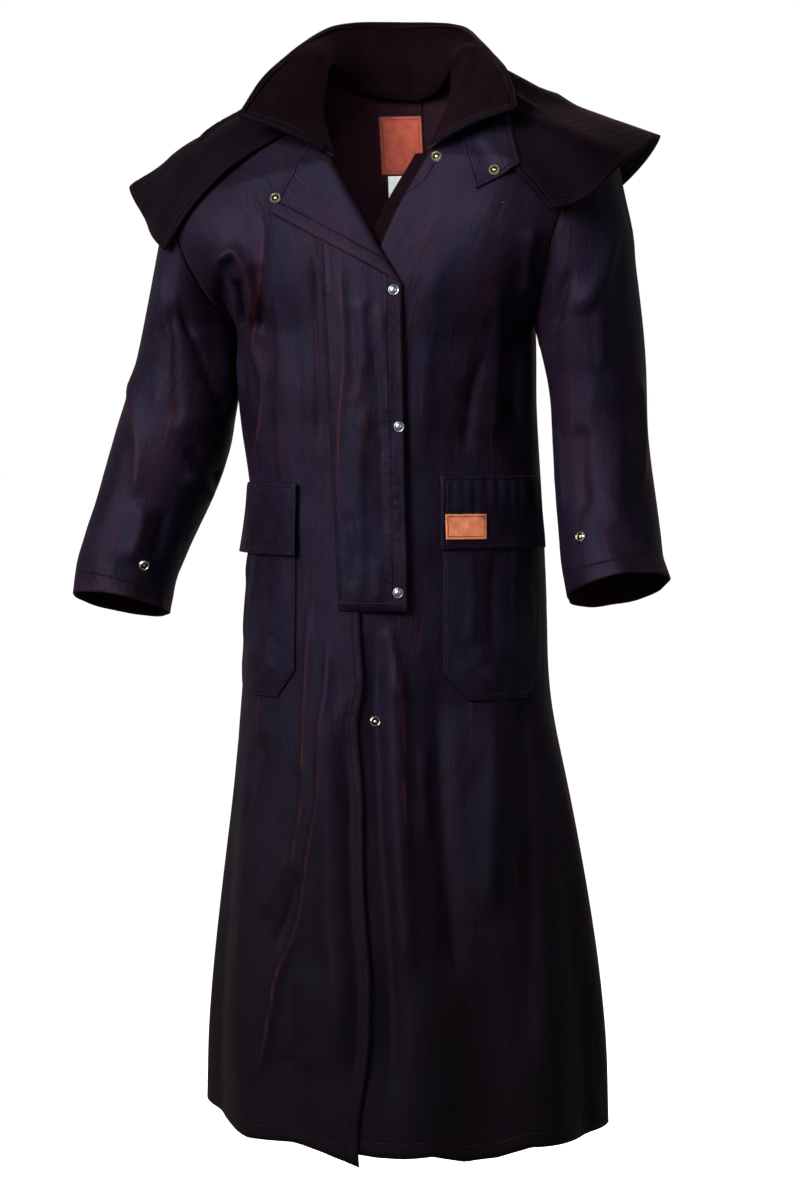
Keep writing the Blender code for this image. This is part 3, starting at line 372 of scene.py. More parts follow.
def lengths(grid, edge):
    """How far each point of a grid lies from one of its edges, along the cloth, in mm."""
    along = 0 if edge in ("low", "high") else 1
    steps = np.linalg.norm(np.diff(grid, axis=along), axis=2)
    travelled = np.insert(np.cumsum(steps, axis=along), 0, 0.0, axis=along)
    if edge in ("left", "low"):
        return travelled
    return (travelled[-1:] if along == 0 else travelled[:, -1:]) - travelled


CREASE_FADE = 0.18                # the share of a crease's length in which it rises or dies away


def relief(s, t, creases=(), rumples=0, seed=1, sway=0.3, deep=0.8):
    """How far a cloth stands out and how red it is rubbed, from placed creases and from small
    chance ones: s is across the cloth and t along it, in mm."""
    height, wear = np.zeros(s.shape), np.zeros(s.shape)
    for half_width, depth, red, line in creases:
        path = resampled(np.array(line, float), 6 * len(line))
        reach = 3.5 * half_width
        near = ((s > path[:, 0].min() - reach) & (s < path[:, 0].max() + reach)
                & (t > path[:, 1].min() - reach) & (t < path[:, 1].max() + reach))
        a, step = path[:-1], np.diff(path, axis=0)
        away = np.stack([s[near], t[near]], 1)[:, None] - a
        along = np.clip((away * step).sum(2) / (step ** 2).sum(1), 0, 1)
        away = away - along[..., None] * step
        gap = np.linalg.norm(away, axis=2)
        k, row = gap.argmin(axis=1), np.arange(len(gap))
        turned = step[k, 0] * away[row, k, 1] - step[k, 1] * away[row, k, 0]
        x = gap[row, k] * np.sign(turned) / half_width
        x = x * (1 + 0.3 * np.tanh(x))    # steeper on one side than on the other
        done = (k + along[row, k]) / len(a)
        fade = ease(done, 0, CREASE_FADE) * ease(1 - done, 0, CREASE_FADE)
        height[near] += 1.25 * depth * fade / np.cosh(1.8 * x)
        wear[near] += red * fade * np.exp(-(3.6 * x) ** 2)
    # Small chance creases, each with its place, turn, size, depth and bend
    chance = np.random.default_rng(seed)
    for _ in range(rumples):
        s0, t0 = chance.uniform(s.min(), s.max()), chance.uniform(t.min(), t.max())
        turn, half, thin = chance.normal(0, sway), chance.uniform(14, 60), chance.uniform(4, 10)
        amount, bend = deep * chance.uniform(-1, 1), chance.normal(0, 0.15)
        x = (s - s0) * math.cos(turn) + (t - t0) * math.sin(turn)
        y = (t - t0) * math.cos(turn) - (s - s0) * math.sin(turn)
        x = x + bend * y * y / half
        bump = np.exp(-(x / thin) ** 2 - (y / half) ** 2)
        height += amount * bump
        wear += max(0, amount) / deep * 0.4 * np.exp(-(2 * x / thin) ** 2 - (y / half) ** 2)
    return height, wear


FAR_FROM_STITCHES = 40.0


def band_of(grid, *stitched):
    """Distance past the nearest row of stitches, for the finish to draw its groove and its fuller
    hem. stitched holds edges, their insets, and the share of the edge they cover if not all."""
    rows, columns = grid.shape[:2]
    band = np.full((rows, columns), FAR_FROM_STITCHES)
    for edge, inset, *covered in stitched:
        first, last = covered or (0, 1)
        level = edge in ("low", "high")
        along = np.linspace(0, 1, columns)[None, :] if level else np.linspace(0, 1, rows)[:, None]
        beside = 600 * np.maximum(0, np.maximum(first - along, along - last))
        band = np.minimum(band, lengths(grid, edge) - inset + beside)
    return np.clip(band, -FAR_FROM_STITCHES, FAR_FROM_STITCHES)


class Wire:
    """A value in a shader. + - * / and abs work on it, and node() makes any other node."""
    def __init__(self, tree, socket=None):
        self.tree, self.socket = tree, socket

    def node(self, kind, inputs=(), output=0, **settings):
        made = self.tree.nodes.new("ShaderNode" + kind)
        for key, value in settings.items():
            setattr(made, key, value)
        for key, value in dict(inputs).items():
            if isinstance(value, Wire):
                self.tree.links.new(value.socket, made.inputs[key])
            else:
                made.inputs[key].default_value = value
        return Wire(self.tree, made.outputs[output])

    def maths(self, operation, *values):
        return self.node("Math", enumerate(values), operation=operation)

    def __add__(self, other): return self.maths("ADD", self, other)
    def __sub__(self, other): return self.maths("SUBTRACT", self, other)
    def __mul__(self, other): return self.maths("MULTIPLY", self, other)
    def __truediv__(self, other): return self.maths("DIVIDE", self, other)
    def __rsub__(self, other): return self.maths("SUBTRACT", other, self)
    def __abs__(self): return self.maths("ABSOLUTE", self)
    __radd__, __rmul__ = __add__, __mul__

    def between(self, low, high):
        """0 at low, 1 at high, smooth and held at both."""
        return self.node("MapRange", {0: self, 1: low, 2: high}, interpolation_type="SMOOTHSTEP")

    def or_more(self, other):
        """The larger of two values."""
        return self.maths("MAXIMUM", self, other)

    def mix(self, *colours):
        """The first colour at 0 and the second at 1; either may be a Wire."""
        at_0, at_1 = (colour if isinstance(colour, Wire) else (*colour, 1) for colour in colours)
        return self.node("Mix", {0: self, 6: at_0, 7: at_1}, 2, data_type="RGBA")

    def noise(self, at, scale, detail, roughness=0.6):
        return self.node("TexNoise", {"Vector": at, "Scale": scale, "Detail": detail, "Roughness": roughness})

    def painted(self, name):
        """What a piece's mesh says, at each of its points, under a name."""
        return self.node("Attribute", output=2, attribute_name=name)

    def bump(self, height, strength, distance=0.001):
        return self.node("Bump", {"Height": height, "Strength": strength, "Distance": distance})


def principled(name, **fixed):
    """A material with its constant settings, a Wire to build its tree with, and the way into
    its shader."""
    made = bpy.data.materials.new(name)
    made.use_nodes = True
    shader = made.node_tree.nodes["Principled BSDF"]
    for key, value in fixed.items():
        shader.inputs[key.replace("_", " ").title().replace("Ior", "IOR")].default_value = value
    wire = Wire(made.node_tree)

    def feed(socket, value):
        made.node_tree.links.new(value.socket, shader.inputs[socket])
    return made, wire, feed


def waxed_cotton(name, navy, maroon, deep, rubbed, shine=0.10, rough=0.56, shade_and_dull_below=0.0):
    """Oiled cotton: near-black navy, streaked maroon along the grain, red-brown where rubbed, and
    rougher below a given height of cloth, where painted shade also darkens and browns it towards the hem."""
    made, wire, feed = principled(name, specular_ior_level=shine, sheen_weight=0.04, sheen_roughness=0.4,
                                  specular_tint=(0.66, 0.56, 1, 1), sheen_tint=(0.40, 0.12, 0.16, 1))
    cloth_at = wire.node("UVMap")

    def mottled(across, along, detail, roughness=0.6):
        at = wire.node("Mapping", {"Vector": cloth_at, "Scale": (across, along, 1)})
        return wire.noise(at, 1.0, detail, roughness)
    streak, thin, broad = mottled(26, 3.2, 5.0), mottled(190, 7, 3.0), mottled(9, 2.6, 2.0)
    blotch, crumple = mottled(11, 11, 4.0, 0.62), mottled(46, 13, 6.0, 0.7)
    speck, weave, pucker = mottled(150, 150, 2.0, 0.5), mottled(900, 900, 1.0, 0.5), mottled(90, 90, 2.0)
    wear, band = wire.painted("wear"), wire.painted("band")
    tone = (streak * 0.38 + broad * 0.34 + blotch * 0.10 + thin * 0.18).between(0.445, 0.60)
    base = blotch.between(0.62, 0.34).mix((tone * 0.75).mix(navy, maroon), deep)
    # Painted shade: below the given height the base is darkened and browned towards the hem, standing in for
    # the lamps' light falling off there; the same share also roughens the cloth.
    fall = wire.node("SeparateXYZ", {0: cloth_at}, "Y").between(shade_and_dull_below, shade_and_dull_below * 0.15 - 0.01)
    base = (fall * 0.85).mix(base, (0.0030, 0.0021, 0.0016))
    lines = thin.between(0.56, 0.70) * streak.between(0.40, 0.60) * (0.38 - fall * 0.22)
    worn = (wear * (thin * 1.3 + streak * 0.8 - 0.25) + (speck - 0.5) * 0.15).between(0.22, 1.1)
    edge = band.between(-3.0, -18.0) * blotch.between(0.35, 0.65) * (0.28 - fall * 0.2)
    feed("Base Color", worn.or_more(edge).or_more(lines).mix(base, rubbed))
    feed("Roughness", blotch.between(0.3, 0.7) * 0.12 + streak * 0.10 + fall * 0.14 + (rough - 0.11))
    groove = 1 - abs(band / 1.5).between(0.0, 1.0)
    near_band = 1 - abs(band).between(2.0, 12.0)
    surface = (weave * 0.14 + speck * 0.12 + streak * 0.25 + thin * 0.2 + crumple * 2.1 - groove * 0.8
               + band.between(1.0, -2.0) * 0.5 + (pucker - 0.5) * near_band * 1.6 + blotch * 1.0)
    feed("Normal", wire.bump(surface, 0.9))
    return made


def smooth_mesh(name, points, faces, *finishes):
    """A mesh with its finishes, from points in mm."""
    mesh = bpy.data.meshes.new(name)
    mesh.from_pydata((points.reshape(-1, 3) * MM).tolist(), [], faces)
    mesh.shade_smooth()
    for finish in finishes:
        mesh.materials.append(finish)
    return mesh


def in_scene(name, held):
    """A mesh, lamp or camera as an object in the scene."""
    made = bpy.data.objects.new(name, held)
    bpy.context.scene.collection.objects.link(made)
    return made


def on_coat(name, mesh, node=None):
    """A mesh as one piece of the coat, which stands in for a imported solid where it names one."""
    made = in_scene(name, mesh)
    if node:
        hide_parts(node)
    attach(made, "root")
    return made


def wrapped(grid):
    """A closed grid with its first column again after its last."""
    return np.concatenate([grid, grid[:, :1]], axis=1)


def cloth(name, grid, finish, inner=None, thick=CLOTH, closed=False, outwards=True, wear=None,
          band=None, rests_on=(), node=None):
    """One cut piece: a grid of points, thickened both ways, with its cloth coordinates in metres,
    and how red it is rubbed and how far it lies from its stitches at each point."""
    rows, columns = grid.shape[:2]
    faces = quads(rows, columns, closed)
    if not outwards:
        faces = [face[::-1] for face in faces]
    mesh = smooth_mesh(name, grid, faces, *([finish, inner] if inner else [finish]))
    round_grid = wrapped(grid) if closed else grid
    across, along = lengths(round_grid, "left"), lengths(round_grid, "low")
    places = np.stack([across, np.broadcast_to(along.mean(axis=1)[:, None], across.shape)], 2) * MM
    wide = round_grid.shape[1]
    index = np.array([[v // columns * wide + v % columns for v in face] for face in faces])
    if closed:
        wraps = np.array([[v % columns == 0 and max(u % columns for u in face) == columns - 1 for v in face]
                          for face in faces])
        index = index + wraps * columns
    layer = mesh.uv_layers.new(name="cloth")
    layer.data.foreach_set("uv", places.reshape(-1, 2)[index.reshape(-1)].astype(np.float32).reshape(-1))
    for key, values, empty in (("wear", wear, 0.0), ("band", band, FAR_FROM_STITCHES)):
        store = mesh.attributes.new(key, "FLOAT", "POINT")
        values = np.broadcast_to(empty if values is None else values, (rows, columns))
        store.data.foreach_set("value", values.reshape(-1).astype(np.float32))
    made = on_coat(name, mesh, node)
    wall = made.modifiers.new("wall", "SOLIDIFY")
    wall.thickness, wall.offset = thick * MM, 0.0
    wall.material_offset = 1 if inner else 0
    a, b, c, d = (round_grid[:-1, :-1], round_grid[:-1, 1:], round_grid[1:, 1:], round_grid[1:, :-1])
    area = np.linalg.norm(np.cross(c - a, d - b), axis=2).sum() / 2 * MM * MM
    flat = (across[:, -1].max() * MM, along[-1].max() * MM)


navy = (0.0052, 0.0040, 0.0108), (0.0115, 0.0034, 0.0064), (0.0032, 0.0018, 0.0042), (0.036, 0.0076, 0.0085)
navy_cloth = waxed_cotton("oiled_navy", *navy)
# The panels' cloth, with painted shade that darkens it towards the hem.
panel_cloth = waxed_cotton("oiled_navy_panel", *navy, shade_and_dull_below=0.66)
inside_cloth = waxed_cotton("oiled_inside", (0.0150, 0.0052, 0.0078), (0.0190, 0.0060, 0.0084),
                            (0.0092, 0.0034, 0.0050), (0.022, 0.0076, 0.0084), shine=0.06)


def back_rows(front_rows, top_rows):
    """A back panel's key rows: the front's side seam, then its own armhole and neck."""
    rows = {name: (*centre, *front_rows[name][3:6], 0, 90) for name, centre in BACK_CENTRE.items()}
    return rows | top_rows


panels = {
    "front_right": (FRONT_RIGHT_ROWS, -1, FRONT),
    "front_left": (FRONT_LEFT_ROWS, 1, FRONT),
    "back_right": (back_rows(FRONT_RIGHT_ROWS, BACK_RIGHT_TOP), -1, BACK),
    "back_left": (back_rows(FRONT_LEFT_ROWS, BACK_LEFT_TOP), 1, BACK),
}
SHOULDERS_FROM = {"front_right": -150, "front_left": -130, "back_right": -110, "back_left": -100}
FRONT_EDGE_BANDS = {"front_left": (("left", 14, 0.80, 0.86),), "front_right": (("left", 9, 0.0, 0.52),)}
# calm holds each panel before its creases, edge to edge, for other pieces to be placed by.
calm, panel_at, panel_normals = {}, {}, {}
for number, (name, (rows, side, face)) in enumerate(panels.items()):
    calm[name] = even_panel(panel_grid(name, rows, side, face, trim=False))
    grid = even_panel(panel_grid(name, rows, side, face))
    s, t = lengths(grid, "left"), grid[:, :, 2]
    height, wear = relief(s, t, PANEL_CREASES[name], rumples=130, seed=number + 3, sway=0.22, deep=0.75)
    # The creases die away at the seams and on the shoulders, which lie smooth.
    off_seams = ease(s, 2, 22) * ease(lengths(grid, "right"), 0, 14) * ease(lengths(grid, "high"), 2, 20)
    height *= off_seams * (1 - ease(t, SHOULDERS_FROM[name] - 60, SHOULDERS_FROM[name]))
    wave = np.array(HEM_WAVE[name])
    dip = np.interp(s, wave[:, 0], wave[:, 1]) * (1 - ease(lengths(grid, "low"), 0, HEM_WAVE_REACH))
    grid = raised(grid, panel_side(grid, side, face), height)
    grid[:, :, 2] += dip
    if name == "front_right":
        heights, swing = EDGE_SWING[:, 0], EDGE_SWING[:, 1:]
        swing = spline(heights, swing, t.ravel().clip(heights[0], heights[-1])).reshape(t.shape)
        grid[:, :, 0] += swing * (1 - ease(s, *EDGE_SWING_WIDTH))
    panel_at[name], panel_normals[name] = grid, panel_side(grid, side, face)
    cloth("coat_" + name, grid, panel_cloth, inside_cloth, outwards=side * face < 0, wear=wear,
          band=band_of(grid, ("low", HEM), *FRONT_EDGE_BANDS.get(name, ())), node=name)


def seam_allowance(first, second, inset=8.0, behind=1.5):
    """The two edges of a seam, turned in behind it. Each is named by its panel and its side of it."""
    halves = []
    for name, edge in (first, second):
        grid, normals = panel_at[name], panel_normals[name]
        if edge == "right":
            grid, normals = grid[:, ::-1], normals[:, ::-1]
        travelled = lengths(grid, "left")
        halves.append(np.array([places_on(grid[r], travelled[r], np.linspace(0.5, inset, 4))
                                - normals[r, 1] * behind for r in range(len(grid))]))
    rows = min(len(half) for half in halves)
    return np.concatenate([halves[0][:rows, ::-1], halves[1][:rows]], axis=1)


for name, first, second, up_to in (
    ("side_right", ("front_right", "right"), ("back_right", "right"), "underarm"),
    ("side_left", ("front_left", "right"), ("back_left", "right"), "underarm"),
    ("centre_back", ("back_left", "left"), ("back_right", "left"), "collarbone")):
    last_row = list(panels["back_left"][0]).index(up_to)
    turned_in = seam_allowance(first, second)[:last_row * PANEL_STEPS]
    cloth("coat_seam_" + name, turned_in, inside_cloth, thick=1.0,
          rests_on=("coat_" + first[0], "coat_" + second[0]))
calm_tree = tree_of(*calm.values())
body_tree = tree_of(*panel_at.values(), *calm.values())
fronts = {side: tree_of(panel_at["front_" + side]) for side in ("right", "left")}
calm_left_front = tree_of(calm["front_left"])

# Sleeves. Each is one tube of waxed cotton set into its armhole and sewn down twice below that
# seam, creased at the elbow and hemmed at the cuff with two rows of stitches.
SLEEVE_STEPS, SLEEVE_SIDES = 13, 112
CUFF_HEM, CUFF_RIPPLE = 20, 40
# Each ring is its middle, its half sizes across and from front to back, and how far it leans out
# and forward, in degrees.
SLEEVE_LEFT_RINGS = {
    "upper":   (240, -2, -348, 63, 77, 0, 0),
    "bicep":   (249, -3, -397, 57, 74, 2, 1),
    "elbow":   (249, -7, -452, 56, 70, 4, 5),
    "forearm": (257, -15, -510, 58, 67, 8, 11),
    "low_arm": (265, -30, -566, 60, 65, 9, 15),
    "wrist":   (273, -47, -614, 60, 63, 11, 17),
    "cuff":    (280, -58, -637, 61, 62, 13, 18),
}
SLEEVE_RIGHT_RINGS = {
    "upper":   (262, -2, -352, 57, 79, 2, 0),
    "bicep":   (265, -3, -398, 64, 77, 6, 1),
    "elbow":   (276, -6, -452, 73, 74, 12, 5),
    "forearm": (294, -14, -512, 68, 71, 18, 10),
    "low_arm": (318, -26, -571, 59, 67, 20, 14),
    "wrist":   (333, -40, -632, 60, 62, 14, 16),
    "cuff":    (335, -48, -662, 59, 60, 7, 16),
}
# The largest folds of each sleeve: the angle round it, the share of the way down, half the size
# both ways, and how far they stand out.
SLEEVE_FOLDS = {
    "right": (
        (140, 0.62, 70, 0.035, -6.0),
        (150, 0.52, 80, 0.035, 5.0),
        (160, 0.42, 60, 0.030, -5.0),
        (75, 0.30, 26, 0.160, -5.0),
        (255, 0.50, 60, 0.050, -5.0),
    ),
    "left": (
        (150, 0.44, 70, 0.035, -5.0),
        (120, 0.34, 60, 0.040, 4.0),
        (95, 0.62, 70, 0.040, -4.0),
        (60, 0.26, 26, 0.150, -4.0),
        (260, 0.52, 60, 0.050, -5.0),
        (0, 0.17, 65, 0.100, 9.0),
    ),
}
# The same columns as the panels' creases, as mm round from the outside and mm down the sleeve
SLEEVE_CREASES = {
"right": (
    (8, 4, 1.0, [(21, 157), (40, 200), (66, 243), (93, 339)]),
    (10, -7, 0, [(96, 67), (126, 134), (162, 208)]),
    (8, 5, .8, [(117, 101), (135, 151), (156, 194)]),
    (13, 5, .3, [(60, 50), (99, 157), (120, 251)]),
    (10, -6, 0, [(84, 84), (99, 157), (111, 229)]),
    (18, 5, 0, [(105, 331), (111, 364), (117, 420)]),
    (7, 2, .8, [(105, 420), (111, 388), (105, 339)]),
    (9, -5, 0, [(120, 251), (144, 267), (186, 275)]),
    (9, 4, .3, [(129, 283), (156, 291), (189, 299)]),
    (9, -3, 0, [(135, 404), (132, 364), (126, 331)]),
    (11, -5, 0, [(210, 190), (250, 230), (290, 250)]),
    (11, 5, .5, [(220, 240), (262, 272), (300, 290)]),
    (9, -4, 0, [(215, 120), (240, 160), (262, 210)]),
    (12, 4, .5, [(300, 120), (306, 200), (296, 300)]),
    (24, 6.5, 0, [(150, 6), (156, 60), (160, 120), (165, 180), (168, 214)]),
),
"left": (
    (8, 3, .8, [(21, 185), (15, 253), (36, 334)]),
    (12, 6, .4, [(27, 55), (55, 90), (87, 129)]),
    (11, -6, 0, [(90, 55), (108, 92), (123, 129)]),
    (10, 3, .3, [(147, 211), (141, 290), (147, 363)]),
    (18, 4, 0, [(54, 239), (66, 326), (78, 403)]),
    (14, -4, 0, [(99, 246), (108, 304), (108, 370)]),
    (12, 4, .2, [(50, 92), (66, 147), (75, 191)]),
    (7, -2, 0, [(87, 390), (66, 403), (39, 396)]),
    (11, -5, 0, [(200, 170), (250, 216), (292, 232)]),
    (11, 5, .5, [(216, 226), (256, 250), (300, 270)]),
    (9, -4, 0, [(230, 100), (246, 150), (270, 190)]),
    (12, 4, .5, [(310, 110), (300, 210), (306, 320)]),
),
}


def armhole_of(name):
    """The armhole's two edges, down the front from the shoulder, and up the back from under the arm."""
    first = list(FRONT_LEFT_ROWS).index("underarm") * PANEL_STEPS
    return calm["front_" + name][first:, -1][::-1], calm["back_" + name][first + 1:, -1]


def sleeve_ring(ring, side, angles):
    """Points round one sleeve ring: 0 outside, 90 front, 180 inside, 270 back."""
    x, y, z, across, deep, lean_out, lean_fore = ring
    lean_out, lean_fore = math.radians(lean_out), math.radians(lean_fore)
    outwards = np.array([math.cos(lean_out), 0, math.sin(lean_out)])
    forwards = np.array([0, -math.cos(lean_fore), math.sin(lean_fore)])
    round_it = np.radians(angles)[:, None]
    points = np.array([x, y, z]) + outwards * across * np.cos(round_it) + forwards * deep * np.sin(round_it)
    return points * np.array([side, 1, 1])


def sleeve_grid(name, side, rings, angles, down_front, up_back):
    """The middle of a sleeve's cloth, a closed row at the armhole and at each step down the arm,
    and the normals that its folds stand out along."""
    half = SLEEVE_SIDES // 2
    loop = np.concatenate([resampled(down_front, half + 1), resampled(
        np.concatenate([down_front[-1:], up_back]), half + 1)[1:-1]])
    under = ease(-np.cos(np.radians(angles)), 0.5, 1.0)
    loop[:, 0] += side * (RIDGE_GAP + UNDERARM_GAP * under)
    keys = np.stack([loop] + [sleeve_ring(ring, side, angles) for ring in rings.values()])
    knots = travelled_along(keys.mean(axis=1))
    steps = np.linspace(0, len(keys) - 1, (len(keys) - 1) * SLEEVE_STEPS + 1)
    # The long first stretch, from the armhole to the upper arm, has twice the rows.
    steps = np.unique(np.concatenate([steps, [0.25, 0.75]]))
    places = np.interp(steps, np.arange(len(keys)), knots)
    grid = spline(knots, keys.reshape(len(keys), -1), places).reshape(len(places), SLEEVE_SIDES, 3)
    normals = outward_normals(grid, closed=True) * side
    return raised(grid, normals, sleeve_fold_depths(name, angles, places / knots[-1])), normals


def sleeve_fold_depths(name, angles, down):
    """How far the largest folds stand out of a sleeve at each of its points, in mm."""
    total = np.zeros((len(down), len(angles)))
    for round_to, down_to, half_round, half_down, depth in SLEEVE_FOLDS[name]:
        away = (angles - round_to + 180) % 360 - 180
        shape = np.exp(-((away / half_round) ** 2))[None, :]
        total += depth * shape * np.exp(-(((down - down_to) / half_down) ** 2))[:, None]
    return total * ease(down, 0.05, 0.2)[:, None]


sleeves, sleeve_trees = {}, []
angles = np.arange(SLEEVE_SIDES) * 360.0 / SLEEVE_SIDES
for name, side, rings in (("right", -1, SLEEVE_RIGHT_RINGS), ("left", 1, SLEEVE_LEFT_RINGS)):
    grid, normals = sleeve_grid(name, side, rings, angles, *armhole_of(name))
    down = travelled_along(grid.mean(axis=1))
    s = np.broadcast_to(angles, grid.shape[:2])
    t = np.broadcast_to(down[:, None], grid.shape[:2])
    for _ in range(2):
        grid = smoothed_along(grid, ease(t, 30, 130) * (1 - ease(t, down[-1] - 90, down[-1] - 30)))
    height, wear = relief(s, t, SLEEVE_CREASES[name], rumples=80, seed=31 + side, sway=0.5, deep=0.9)
    round_fade = ease(s, 0, 18) * ease(360 - s, 0, 18)
    grid = raised(grid, normals, height * ease(t, 8, 40) * round_fade)
    ripple = np.sin(np.radians(s) * 5 + side) * 1.1 + np.sin(np.radians(s) * 9 + 2) * 0.8
    grid = raised(grid, normals, ripple * ease(t, down[-1] - CUFF_RIPPLE, down[-1]))
    sleeves[name] = wrapped(grid), wrapped(outward_normals(grid, closed=True) * side)
    cloth("coat_sleeve_" + name, grid, navy_cloth, inside_cloth, closed=True, outwards=side > 0,
          wear=wear * round_fade, band=down[-1] - t - CUFF_HEM, node="sleeve_" + name)
    sleeve_trees.append(tree_of(sleeves[name][0]))

# Shoulder cape. One wide piece of waxed cotton caught in the neck seam and open at the front,
# with a hem stitched twice. It stands off the sleeve heads in shallow flutes.
# Each row is its share of the way round the neck seam, then a point half-way down and one at the hem.
CAPE_ROWS = {
    "right_edge":       (0.13, -188, -98, -144, -262, -92, -236),
    "right_front":      (0.19, -210, -74, -112, -284, -64, -216),
    "right_side":       (0.27, -222, 0, -82, -336, 6, -148),
    "right_blade":      (0.34, -204, 84, -92, -296, 100, -174),
    "right_back":       (0.42, -124, 126, -98, -186, 148, -210),
    "back":             (0.50, -4, 134, -110, 0, 150, -240),
    "left_back":        (0.58, 124, 126, -90, 184, 148, -198),
    "left_blade":       (0.66, 194, 84, -78, 268, 104, -144),
    "left_side":        (0.73, 210, 0, -62, 319, -4, -104),
    "left_front":       (0.81, 206, -74, -94, 288, -80, -140),
    "left_front_wave":  (0.84, 184, -92, -114, 248, -104, -182),
    "left_edge":        (0.87, 150, -100, -138, 203, -94, -200),
}
CAPE_NECK_SET_BACK, CAPE_CLEAR = 11.0, (1.5, 3.6)
CAPE_LENGTH, FLUTES, FLUTE_DEPTH = 1100, 9, 2.4    # the length that the creases below are placed along
NECK_MIDDLE_X = -5.0
CAPE_CREASES = (
    (14, 4, .7, [(150, 30), (120, 110), (90, 170)]),
    (12, -4, 0, [(190, 40), (170, 110), (150, 160)]),
    (13, 4, .6, [(250, 40), (240, 100), (236, 160)]),
    (15, -4, 0, [(330, 40), (322, 100), (318, 170)]),
    (14, 4, .5, [(420, 50), (424, 120), (430, 180)]),
    (14, -3, 0, [(520, 60), (522, 120), (520, 200)]),
    (14, 4, .5, [(620, 60), (616, 120), (610, 190)]),
    (13, -4, 0, [(720, 50), (730, 100), (738, 160)]),
    (12, 4, .6, [(810, 40), (826, 100), (838, 140)]),
    (11, -4, 0, [(880, 30), (900, 80), (914, 120)]),
    (10, 3, .6, [(940, 30), (968, 70), (984, 110)]),
)


def neck_line():
    """The neck seam, from the right front round the back to the left front."""
    front_end = list(FRONT_LEFT_ROWS).index("neck_end") * PANEL_STEPS
    back_end = list(panels["back_left"][0]).index("collarbone") * PANEL_STEPS
    right, left = (np.concatenate([calm["front_" + side][front_end:, 0],
                                   calm["back_" + side][back_end:-1, 0][::-1]]) for side in ("right", "left"))
    line = np.concatenate([right, left[::-1][1:]])
    travelled = travelled_along(line)
    return line, travelled / travelled[-1]


def columns_of(table, count):
    """A table's rows read at count places, evenly spaced along the points in its last columns."""
    keys = np.array(list(table.values()), float)
    knots = travelled_along(keys[:, -3:])
    return spline(knots, keys, np.linspace(0, knots[-1], count))


def lofted(groups, steps):
    """A grid up through lines of points, which all have the same count."""
    keys = np.stack(groups)
    read = spline(np.linspace(0, 1, len(keys)), keys.reshape(len(keys), -1), np.linspace(0, 1, steps))
    return read.reshape(steps, -1, 3)


def below_shoulder(point):
    """A place inside the coat from which a point over the shoulders is seen from beneath."""
    return Vector((max(-215.0, min(215.0, point.x)) * 0.9, 5.0, point.z - 70.0))


def straight_behind(point):
    """A place inside the coat from which a point on its front is seen straight ahead."""
    return Vector((point.x, 60.0, point.z))


def from_middle(point):
    """A place on the coat's middle line, level with a point on its side."""
    return Vector((0.0, 0.0, point.z))


def from_neck_middle(seam):
    """Level unit vectors from the middle of the neck opening out to the seam's points."""
    out = (seam - np.array([NECK_MIDDLE_X, 0, 0])) * np.array([1, 1, 0])
    return out / np.linalg.norm(out, axis=1, keepdims=True)


def cape_grid(columns=35, rows=7):
    """The cape as drawn, before its creases and before it is lifted off the coat."""
    table = columns_of(CAPE_ROWS, columns)
    seam = places_on(*neck, table[:, 0])
    seam = seam + from_neck_middle(seam) * CAPE_NECK_SET_BACK
    return lofted([seam, table[:, 1:4], table[:, 4:7]], rows)


def cleared(grid, trees, gap, heart_of, spread=3):
    """The grid moved out from the coat's inside until it clears every surface by gap. The move
    is widened and smoothed, so that it leaves no dents."""
    rows, columns = grid.shape[:2]
    gaps = np.broadcast_to(np.asarray(gap, float), rows)
    push, ways = np.zeros((rows, columns)), np.zeros((rows, columns, 3))
    for r, c in np.ndindex(rows, columns):
        point = Vector(grid[r, c])
        heart = heart_of(point)
        way = (point - heart).normalized()
        ways[r, c] = way
        for tree in trees:
            hit, normal, _, _ = tree.ray_cast(heart + way * 400, -way)
            if hit is not None:
                needed = (hit - heart).dot(way) + gaps[r] / max(0.5, abs(normal.dot(way)))
                push[r, c] = max(push[r, c], needed - (point - heart).dot(way))
    for widen in [True] * spread + [False] * spread:
        ringed = np.pad(push, 1, mode="edge")
        near = np.stack([ringed[i:i + rows, j:j + columns] for i in range(3) for j in range(3)])
        push = near.max(axis=0) if widen else near.mean(axis=0)
    return grid + ways * push[:, :, None]


def finer(grid, rows, columns):
    """The same surface with more points, smooth both ways."""
    up = spline(np.linspace(0, 1, len(grid)), grid.reshape(len(grid), -1), np.linspace(0, 1, rows))
    up = up.reshape(rows, grid.shape[1], 3).swapaxes(0, 1)
    out = spline(np.linspace(0, 1, len(up)), up.reshape(len(up), -1), np.linspace(0, 1, columns))
    return out.reshape(columns, rows, 3).swapaxes(0, 1)


neck = neck_line()
cape = finer(cape_grid(), 40, 230)
s, t = lengths(cape, "left"), lengths(cape, "low")
s = np.broadcast_to(s.max(axis=0)[None, :] * CAPE_LENGTH / s[-1, -1], t.shape)
height, wear = relief(s, t, CAPE_CREASES, rumples=60, seed=12, sway=0.5, deep=1.2)
flute = np.sin(s / CAPE_LENGTH * math.tau * FLUTES + 1.3 * np.sin(s / 170)) * FLUTE_DEPTH * ease(t, 60, 190)
cape = raised(cape, outward_normals(cape), (height + flute) * ease(t, 10, 60))
cape = cleared(cape, [body_tree, *sleeve_trees], CLOTH + np.linspace(*CAPE_CLEAR, len(cape)), below_shoulder)
cape_cloth = waxed_cotton("oiled_cape", (0.0022, 0.0013, 0.0026), (0.0046, 0.0016, 0.0024),
                          (0.0016, 0.0009, 0.0016), (0.014, 0.0040, 0.0044), shine=0.04, rough=0.66)
cloth("coat_cape", cape, cape_cloth, inside_cloth, wear=wear, node="cape",
      band=band_of(cape, ("high", 9), ("left", 8), ("right", 8)))
cape_tree = tree_of(cape)

